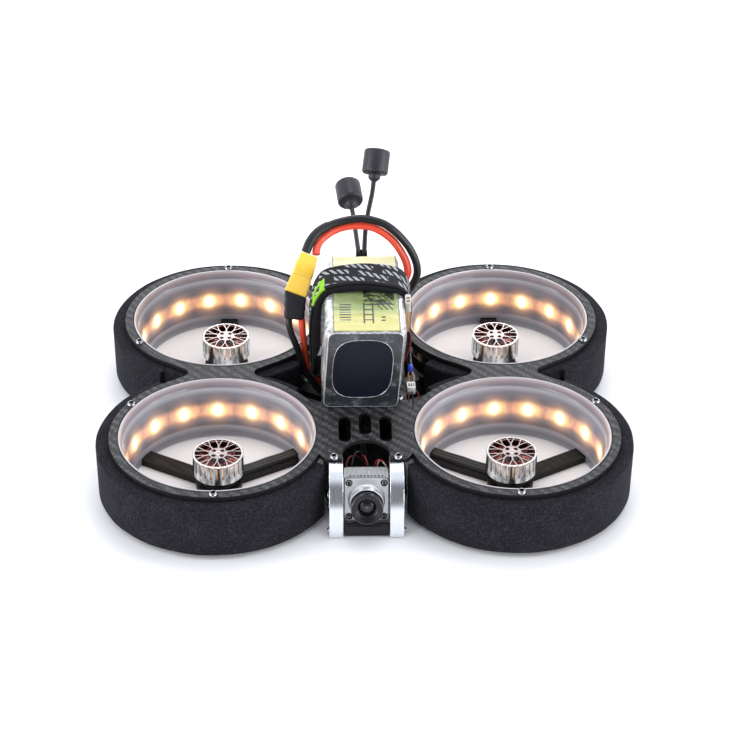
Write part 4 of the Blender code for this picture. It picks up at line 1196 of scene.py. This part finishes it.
def make_camera():
    half = CAMERA_HALF
    tilt = tilted()
    fins = []
    for i in range(11):
        x = half - 1.2 - i * (2 * half - 2.4) / 10
        fins += [(x + 0.55, half), (x + 0.4, half - 1.1), (x - 0.4, half - 1.1), (x - 0.55, half)]
    outline = [(-half, -half), (half, -half), (half, half)] + fins[1:-1] + [(-half, half)]
    body = prism("camera_body_fine", outline, CAMERA_BACK + 1.2, 3.9, turn=FRONT_VIEW)
    back = prism("camera_back", rounded_box((-half, -half), (half, half), 0.8), CAMERA_BACK, CAMERA_BACK
                 + 1.25, turn=FRONT_VIEW)
    bm = bmesh.new()
    for i in range(10):
        add_prism(bm, circle(((i - 4.5) * 1.5, half - 0.2), 0.5, 14), 3.2, 4.8, turn=FRONT_VIEW)
    piece("camera_teeth", finish_mesh(bm, "camera_teeth"), "bracket", matrix=tilt,
          body="camera")
    piece("camera_back", back, "fins", matrix=tilt, body="camera")
    piece("camera_body_fine", body, "fins", ["camera_body"], bevel=0.18, matrix=tilt,
          body="camera")

    corners = [(-7.35, -7.45), (7.35, -7.45), (7.35, 7.4), (-7.35, 7.4)]
    holes = [circle((0, 0), 6.8, 64)] + [circle(c, 1.5, 24) for c in corners]
    face = prism("face_plate_fine", rounded_box((-half, -half - 0.1), (half, half + 0.1), 1.9), 4.2,
                 CAMERA_FRONT, holes, FRONT_VIEW)
    face.shade_flat()
    piece("face_plate_fine", face, "camera", ["camera_face_plate"], bevel=0.3, matrix=tilt,
          body="camera")
    collar = turned("lens_collar", [(6.8, 6.4), (6.8, 13.9), (6.95, 14.1), (7.1, 13.9), (7.15, 10.2),
                                    (7.4, 9.8), (7.65, 9.4), (7.75, 8.6), (7.8, 7), (7.3, 6.4)], 72,
                    closed=True, turn=FRONT_VIEW)
    piece("lens_collar", collar, "camera", matrix=tilt, body="camera")
    for i, (x, z) in enumerate(corners, 1):
        # A black ring lining each screw hole: painted shade in the hole.
        ring = turned(f"face_screw_hole_shade_{i}", [(1.1, 5), (1.1, 6.6), (1.48, 6.6), (1.48, 5)], 24, closed=True,
                      turn=Matrix.Translation((x, 0, z)) @ FRONT_VIEW)
        piece(f"face_screw_hole_shade_{i}", ring, "plastic", matrix=tilt, body="camera")
        at = tilt @ Matrix.Translation(Vector((x, -5.9, z)) * MM) @ Matrix.Rotation(radians(90), 4, "X")
        add_screw(f"face_screw_{i}", None, 1.25, "camera", at)

    barrel = [(3.7, 4.2), (6, 4.2), (6, 14.4), (6.5, 14.7), (6.5, 15.2), (6.25, 15.35), (6.25, 15.7),
              (6.6, 15.9), (6.7, 16.2), (6.7, 18.3), (6.55, 18.75), (6.2, 19), (5.8, 19), (5.6, 18.6),
              (5.3, 18.45), (4.9, 18.35), (4.7, 17.8), (4.4, 17.65), (4.1, 17.5), (3.95, 16.7), (3.7, 16.5)]
    mesh = turned("lens_barrel_fine", barrel, 72, closed=True, turn=FRONT_VIEW, smooth_angle=28)
    piece("lens_barrel_fine", mesh, "dark_metal", ["lens_barrel"], matrix=tilt, body="lens")
    dome = [(0, 16.3)] + [(3.65 * sin(a), 14.9 + 1.4 * cos(a)) for a in (i * 0.157 for i in range(1, 11))]
    mesh = turned("lens_glass_fine", dome + [(3.65, 10.4), (0, 10.4)], 56, turn=FRONT_VIEW)
    piece("lens_glass_fine", mesh, "glass", ["lens_glass"], matrix=tilt, body="lens")

    for side, sx in SIDES.items():
        outward = Matrix.Rotation(radians(90 * sx), 4, "Y")
        at = tilt @ Matrix.Translation(Vector((sx * (BRACKET_OUT + 0.05), 0, 0)) * MM) @ outward
        add_screw("pivot_screw_" + side, None, 1.9, "camera", at)
        stem = turned("pivot_stem_" + side, [(0, 15.9), (0.9, 15.9), (0.9, 9.5), (0, 9.5)], 20, turn=outward)
        piece("pivot_stem_" + side, stem, "screw", ["camera_pivot_screw_" + side], matrix=tilt,
              body="camera")


# ---------------------------------------------------------------- battery, strap and plugs

def battery_loop():
    """The pack's section as closely spaced points."""
    low, high = BATTERY_LOW, BATTERY_HIGH
    corners = rounded_box((low.x + 0.25, low.z + 0.25), (high.x - 0.25, high.z - 0.25), 3.2, 15)
    loop = []
    for (x0, z0), (x1, z1) in zip(corners, corners[1:] + corners[:1]):
        count = max(1, round(hypot(x1 - x0, z1 - z0) / 1.3))
        loop += [(x0 + (x1 - x0) * i / count, z0 + (z1 - z0) * i / count) for i in range(count)]
    return loop


def lean(points):
    """Points (x, z) of the pack's outline as it stands: its top leans to the right."""
    return [(x + BATTERY_LEAN * (z - LEAN_FROM), z) for x, z in points]


def end_outline(grown):
    """The pack's dark end, a rounded square, larger by a factor."""
    wide, tall, square = 12.9 * grown, 14.6 * grown, 0.62
    points = []
    for i in range(72):
        c, s = cos(tau * i / 72), sin(tau * i / 72)
        points.append((-1.5 + wide * copysign(abs(c) ** square, c),
                       48 + tall * copysign(abs(s) ** square, s)))
    return lean(points)


def make_battery_wrap():
    """The pack in its wrap: creased along its height, and standing off its sides behind the end."""
    low, high = BATTERY_LOW, BATTERY_HIGH
    middle = Vector(((low.x + high.x) / 2, 0, (low.z + high.z) / 2))
    half = (high.x - low.x) / 2
    sections = []
    rows = 54
    for row in range(rows + 1):
        y = low.y + (high.y - low.y) * row / rows
        shrink = (0.975, 0.995, 1)[min(row, rows - row, 2)]
        stand = share_of(y, low.y + 0.8, 3) * share_of(-y, -6, 4)
        section = []
        for x, z in battery_loop():
            place = Vector((x, y, z))
            crease = noise.noise(Vector((x / 5, y / 2.6, z / 9))) * 0.7 + noise.noise(place / 1.7) * 0.15
            away = Vector((x - middle.x, 0, z - middle.z))
            side = share_of(abs(away.x) / half, 0.75, 0.2) * share_of(z, low.z, 12)
            flat = 0.25 if z > high.z - 2 else 1
            spread = shrink - max(0, crease) * 0.028 * flat
            bulge = stand * side * (1.6 + 1.1 * crease) * copysign(1, away.x)
            section.append((middle.x + away.x * spread + bulge, middle.z + away.z * spread))
        sections.append([(x, y, z) for x, z in lean(section)])
    mesh = loft("battery_wrap_fine", sections, smooth_angle=60)
    piece("battery_wrap_fine", mesh, "wrap", ["battery_pack"])


def make_battery():
    """The pack, the folded rim of its end, and the label on its top."""
    make_battery_wrap()
    low, high = BATTERY_LOW, BATTERY_HIGH
    hole = end_outline(1)
    outer = lean(rounded_box((low.x + 0.3, low.z + 0.4), (high.x - 0.2, high.z - 0.5), 2.8, 10))
    rim = prism("battery_rim", outer, -low.y - 0.8, -low.y + 0.45, [hole], FRONT_VIEW)
    piece("battery_rim", rim, "rim", bevel=0.5)
    end = prism("battery_end", end_outline(1.03), -low.y - 0.5, -low.y + 0.1, turn=FRONT_VIEW)
    piece("battery_end", end, "navy")
    fold = [Vector((x, low.y - 0.15, z)) for x, z in outer + outer[:1]]
    piece("battery_fold", tube_curve("battery_fold", fold, 0.34, 3), "wrap")
    edge = [Vector((x, low.y - 0.42, z)) for x, z in hole + hole[:1]]
    piece("battery_end_edge", tube_curve("battery_end_edge", edge, 0.17, 3), "wrap")

    front_y, back_y = low.y + 1.2, high.y - 1
    (left, _), (right, _) = lean([(low.x + 2, high.z), (high.x - 1.6, high.z)])
    columns, lines = 28, 60
    bm = bmesh.new()
    grid = []
    for j in range(lines + 1):
        y = front_y + (back_y - front_y) * j / lines
        row = []
        for i in range(columns + 1):
            x = left + (right - left) * i / columns
            z = high.z - 0.05 + 0.16 * noise.noise(Vector((x / 6, y / 3, 0)))
            row.append(bm.verts.new((x, y, z)))
        grid.append(row)
    for a, b in zip(grid, grid[1:]):
        for i in range(columns):
            bm.faces.new((a[i], a[i + 1], b[i + 1], b[i]))
    mesh = finish_mesh(bm, "battery_label")
    label = piece("battery_label", mesh, label_look((left + right) / 2, front_y))
    film = label.modifiers.new("film", "SOLIDIFY")
    film.thickness = 0.12 * MM


STRAP_LINE = ((0, 25), (-14, 25), (-18.6, 24.2), (-20.8, 23.4), (-21.8, 25.6), (-21.4, 30),
              (-20.9, 40), (-20.6, 52), (-19.8, 60.8), (-16.7, 66.2), (-11, 68.2), (-0.8, 69.3),
              (9.6, 68.4), (15.9, 66.6), (19.1, 60.8), (19.3, 52), (19.2, 40), (19.4, 30),
              (20.4, 25.6), (19.6, 23.2), (17.2, 23.6), (13, 25))


def strap_layer(name, inner, outer, front, rear, roll=0, fill=0):
    """One layer of webbing round the pack, between two distances from the strap's inner line.

    `roll` thickens its front edge over the pack, and `fill` thickens it inwards down the sides.
    """
    line = smooth_line(STRAP_LINE, 1.6, ring=True)
    sections, cloth, along = [], [], 0
    for i, point in enumerate(line):
        before, after = line[i - 1], line[(i + 1) % len(line)]
        forward = (after - before).normalized()
        out = Vector((-forward.y, forward.x))
        top = share_of(point.y, 50, 14)
        rise = share_of(point.y, 27, 36)
        outside = outer + (1.4 * sin(pi * rise) if point.x < 0 else 0)
        inside = inner + (0 if fill else outside - outer) - fill * share_of(point.y, 31, 7)
        y0 = front + 0.35 * sin(along / 9)
        y1 = rear + 0.25 * sin(along / 7 + 1)
        thick_front = outside + roll * top
        bulge = 0.12 * noise.noise(Vector((along / 6, 3.1, roll)))
        section = [(y0 + 0.35, inside), (y0, inside + 0.3), (y0, thick_front - 0.35 + bulge),
                   (y0 + 0.4, thick_front + bulge), (y0 + 1.2, thick_front + bulge),
                   (y0 + 2.4, outside + bulge)]
        section += [(y0 + (y1 - y0) * t, outside + bulge) for t in (0.3, 0.5, 0.7, 0.9)]
        section += [(y1 - 0.3, outside), (y1, outside - 0.3), (y1, inside + 0.3), (y1 - 0.3, inside),
                    (y0 + (y1 - y0) * 0.5, inside)]
        sections.append([(point.x + out.x * d, y, point.y + out.y * d) for y, d in section])
        cloth.append([(along, y, d) for y, d in section])
        along += (after - point).length
    return loft(name, sections, ring=True, smooth_angle=50, cloth=cloth)


def make_strap():
    """Two layers of webbing: the printed one on top, and the plain one that shows before it."""
    upper = strap_layer("strap_upper", 0.95, 1.9, 4.4, 21.8, roll=0.45)
    piece("strap_upper", upper, strap_look((61.5, 9)), ["battery_strap"])
    plain = speckled("strap_under", (0.008, 0.008, 0.010), 0.9, grain=0.5, depth=0.3, vary=0.7,
                     Specular_IOR_Level=0.2)
    under = strap_layer("strap_under", 0.1, 0.85, 3.5, 20.6, fill=2)
    piece("strap_under", under, plain)


PLUG_LOW = Vector((-30, 22, 55.2))
PLUG_HIGH = Vector((-23.6, 31.6, 70))
PLUG_WIDE = Vector((0.932, -0.198, -0.303))
BOOT_LOW = Vector((-30.2, 17, 46.6))


def slanted_loft(name, low, high, stations, top=None):
    """A body along low to high. Each station: share of the way, half width, half depth, corner."""
    axis = (high - low).normalized()
    sections = []
    for share, half_wide, half_deep, corner in stations:
        normal = (axis.lerp(top, share) if top else axis).normalized()
        across = (PLUG_WIDE - normal * PLUG_WIDE.dot(normal)).normalized()
        deep = normal.cross(across)
        centre = low.lerp(high, share)
        outline = rounded_box((-half_wide, -half_deep), (half_wide, half_deep), corner, 22.5)
        sections.append([centre + across * x + deep * y for x, y in outline])
    return loft(name, sections, smooth_angle=40)


def make_plugs():
    """The yellow plug and socket, and the rubber boot under them."""
    axis = (PLUG_HIGH - PLUG_LOW).normalized()
    joint = 0.45
    middle = PLUG_LOW.lerp(PLUG_HIGH, joint)
    socket = slanted_loft("power_socket_fine", PLUG_LOW, middle - axis * 0.05, [
        (0, 4.9, 2.5, 0.9), (0.03, 5.2, 2.8, 0.9), (0.16, 5.2, 2.8, 0.9), (0.20, 4.95, 2.65, 0.9),
        (0.96, 4.75, 2.55, 0.9), (1, 4.55, 2.4, 0.9)])
    plug = slanted_loft("battery_plug_fine", middle + axis * 0.05, PLUG_HIGH, [
        (0, 4.5, 2.4, 0.9), (0.03, 4.7, 2.55, 0.9), (0.60, 4.45, 2.5, 0.9), (0.63, 4.25, 2.4, 0.9),
        (0.96, 4, 2.3, 0.9), (1, 3.7, 2.1, 0.9)])
    boot = slanted_loft("socket_boot_fine", BOOT_LOW - axis * 1.6, PLUG_LOW - axis * 0.1, [
        (0, 3.5, 2, 1.2), (0.05, 4.3, 2.4, 1.4), (0.22, 4.7, 2.8, 1.3), (0.36, 4.5, 2.35, 1.2),
        (0.50, 4.9, 2.95, 1.2), (0.70, 4.75, 2.6, 1.2), (0.94, 5.1, 2.95, 1), (1, 4.9, 2.75, 1)], axis)
    sleeve = smooth_line(BLACK_LEAD[:5], 1.2)
    cover = tube_curve("lead_sleeve", sleeve[:len(sleeve) * 7 // 10], 2.15)
    piece("lead_sleeve", cover, "boot")
    return {
        "power_socket": piece("power_socket_fine", socket, "yellow", ["power_socket"]),
        "battery_plug": piece("battery_plug_fine", plug, "yellow", ["battery_plug"]),
        "socket_boot": piece("socket_boot_fine", boot, "boot", ["socket_boot"]),
    }


# ---------------------------------------------------------------- antennas

def make_antennas():
    """Two stems tied to a post behind the pack, each with a round cap."""
    feet = {"left": Vector((-1.25, 45.6, 62.2)), "right": Vector((1.15, 45.6, 62))}
    middles = {"left": Vector((-5.2, 84, 73)), "right": Vector((6.9, 70, 96.5))}
    directions = {"left": Vector((-0.13, 0.92, 0.37)), "right": Vector((0.13, 0.62, 0.77))}
    profile = [(0, 5.6), (4.9, 5.6), (5.5, 5.4), (5.9, 4.9), (6, 4.2), (6, -4.2), (5.9, -4.9), (5.5, -5.4),
               (4.9, -5.6), (3.2, -5.7), (2.8, -6), (2.75, -7.6), (2.4, -8.1), (1.6, -8.7), (1.4, -9),
               (0, -9)]
    cap = turned("antenna_cap_fine", profile, 56, smooth_angle=50)
    for side, middle in middles.items():
        direction = directions[side].normalized()
        aim = direction.to_track_quat("Z", "Y").to_matrix().to_4x4()
        at = Matrix.Translation(middle * MM) @ aim
        piece("antenna_cap_fine_" + side, cap, "cap", ["antenna_cap_" + side], matrix=at)
        neck = middle - direction * 8.8
        bend = neck - direction * 6
        halfway = feet[side].lerp(bend, 0.5) - Vector((0.9 if side == "right" else 0, 0, 0))
        route = smooth_line([feet[side], halfway, bend, neck], 2)
        curve = tube_curve("antenna_stem_fine_" + side, route, 1.1)
        piece("antenna_stem_fine_" + side, curve, "black_wire", ["antenna_stem_" + side])
    tie = prism("antenna_tie", rounded_box((-2.6, 43.9), (2.6, 47.4), 1.1, 20), 61.2, 63.6,
                [rounded_box((-2.1, 44.4), (2.1, 46.9), 0.8, 20)])
    piece("antenna_tie", tie, "plastic", bevel=0.2)


# ---------------------------------------------------------------- carried-over CAD nodes

CARRIED = {
    "plastic": ("antenna_holder", "boot_button", "bind_button"),
    "board": ("esc_board", "flight_controller", "video_transmitter"),
    "dark_metal": (*(f"stack_post_{i}" for i in range(1, 5)), *(f"standoff_{corner}" for corner in CORNERS)),
}


def add_wire(name, points, radius, look):
    piece(name, tube_curve(name, smooth_line(points, 1), radius, 4), look)


def make_small_parts():
    """The camera's thin wires, the small white plug by the plate and the balance plug beside the pack."""
    wires = {
        "camera_wire_1": (((3.2, -57.2, 14.5), (4.6, -59.5, 21.5), (7.2, -61.5, 22.6), (8.6, -59, 18),
                           (6, -54, 12)), 0.42, "dark_red_wire"),
        "camera_wire_2": (((4.2, -57.2, 13.5), (5.8, -60.3, 22.3), (8.4, -62.2, 21), (9.2, -58.5, 16),
                           (7.5, -53, 11)), 0.26, "white_wire"),
        "camera_wire_3": (((-7.8, -57.2, 15), (-8.3, -60.8, 20.5), (-6.8, -58, 22.6), (-3.5, -54.6, 20.5),
                           (-1, -51, 15)), 0.24, "dark_red_wire"),
        "camera_wire_4": (((0.2, -57.2, 14), (0.8, -59.6, 19.5), (-0.4, -57, 22), (-1.6, -53, 20),
                           (-1, -49, 15)), 0.34, "dark_red_wire"),
        "camera_wire_5": (((-5.4, -57.2, 13.5), (-6, -59.6, 19), (-4.6, -56.5, 23.2), (-1.6, -54.4, 22.4),
                           (2, -52, 16)), 0.4, "black_wire"),
        "side_wire_1": (((20.2, -13, 26), (19.8, -16.4, 24.8), (19.2, -19, 21.4), (17, -19.8, 18)), 0.28,
                        "dark_red_wire"),
        "side_wire_2": (((21.2, -13.2, 26), (21.6, -16.4, 25.2), (21.4, -19.6, 21.4), (18, -20.6, 17)), 0.28,
                        "black_wire"),
        "side_wire_3": (((22.2, -12, 26.2), (24, -14.4, 25.6), (24.2, -17.6, 22), (21, -20.2, 18)), 0.28,
                        "dark_red_wire"),
        "side_wire_4": (((20.5, -2.2, 29.6), (20, -4.4, 29), (20.4, -7.8, 27.8)), 0.22, "orange_wire"),
        "side_wire_5": (((21.5, -2.2, 29.6), (22.3, -4.6, 29), (22.6, -7.8, 27.8)), 0.22, "white_wire"),
        "pack_wire_1": (((18.6, -3.2, 56), (18, -4.2, 53), (17.5, -3.8, 48), (16.6, -1, 43)), 0.45,
                        "black_wire"),
        "pack_wire_2": (((20.4, -3.4, 51), (20.9, -2.6, 46), (20.2, -1.6, 40), (18.4, 0.6, 33)), 0.3,
                        "dark_red_wire"),
    }
    for name, (points, radius, look) in wires.items():
        add_wire(name, points, radius, look)
    plug_low, plug_high = (19.2, -13.6), (22.9, -8.8)
    bm = bmesh.new()
    add_prism(bm, rounded_box(plug_low, plug_high, 0.4, 45), 25.4, 28.2,
              [rounded_box((19.8 + 1.05 * i, -12.6), (20.5 + 1.05 * i, -9.8), 0.15, 90) for i in range(3)])
    add_prism(bm, rounded_box(plug_low, plug_high, 0.4, 45), 24.6, 25.4)
    piece("side_plug", finish_mesh(bm, "side_plug"), "white", bevel=0.12)
    part = turned("side_part", [(0, 33), (0.8, 32.8), (1.15, 32.2), (1.15, 29.8), (0.9, 29.4), (0, 29.4)], 20,
                  turn=Matrix.Translation((21, -2.2, 0)))
    piece("side_part", part, "blue")

    low, high = span("balance_plug")
    neck = high.z - 4.6
    bm = bmesh.new()
    add_prism(bm, rounded_box((low.x + 0.3, low.y), (high.x - 0.3, high.y), 1.1, 20), neck, high.z,
              [circle(((low.x + high.x) / 2, low.y + 2 + 2.6 * i), 0.85, 16) for i in range(2)])
    add_prism(bm, rounded_box((low.x + 0.6, low.y + 1.4), (high.x - 0.6, high.y - 0.6), 0.6, 30), low.z + 3,
              neck + 0.4)
    piece("balance_plug_fine", finish_mesh(bm, "balance_plug_fine"), "clear", ["balance_plug"],
          bevel=0.15)
    for i, look in enumerate(("gold", "white_wire", "gold")):
        x = low.x + 0.85 + 0.75 * i
        end_x = x - 0.3 * (1 - 0.25 * (i - 1))
        route = ((x, low.y + 0.7, neck + 0.5), (x, low.y + 0.6, neck - 3),
                 (x - 0.1, low.y + 0.8, low.z + 3.5), (end_x, low.y + 1.2, low.z + 0.8))
        add_wire(f"balance_pin_{i + 1}", route, 0.36, look)


def dress_carried():
    """Gives the CAD nodes that stay visible their looks."""
    for look, names in CARRIED.items():
        for name in names:
            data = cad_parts[name].data
            data.materials.clear()
            data.materials.append(LOOKS[look])


def build():
    make_view()
    ends = make_plugs()
    make_cords()
    make_studio()
    make_top_plate()
    make_bottom_plate()
    for corner in CORNERS:
        make_duct(corner)
        make_foam(corner)
        make_strip(corner)
        make_motor(corner)
        make_motor_wires(corner)
    for side in SIDES:
        make_bracket(side)
    make_cross_bar()
    make_camera()
    make_battery()
    make_strap()
    make_antennas()
    make_small_parts()
    dress_carried()


build()
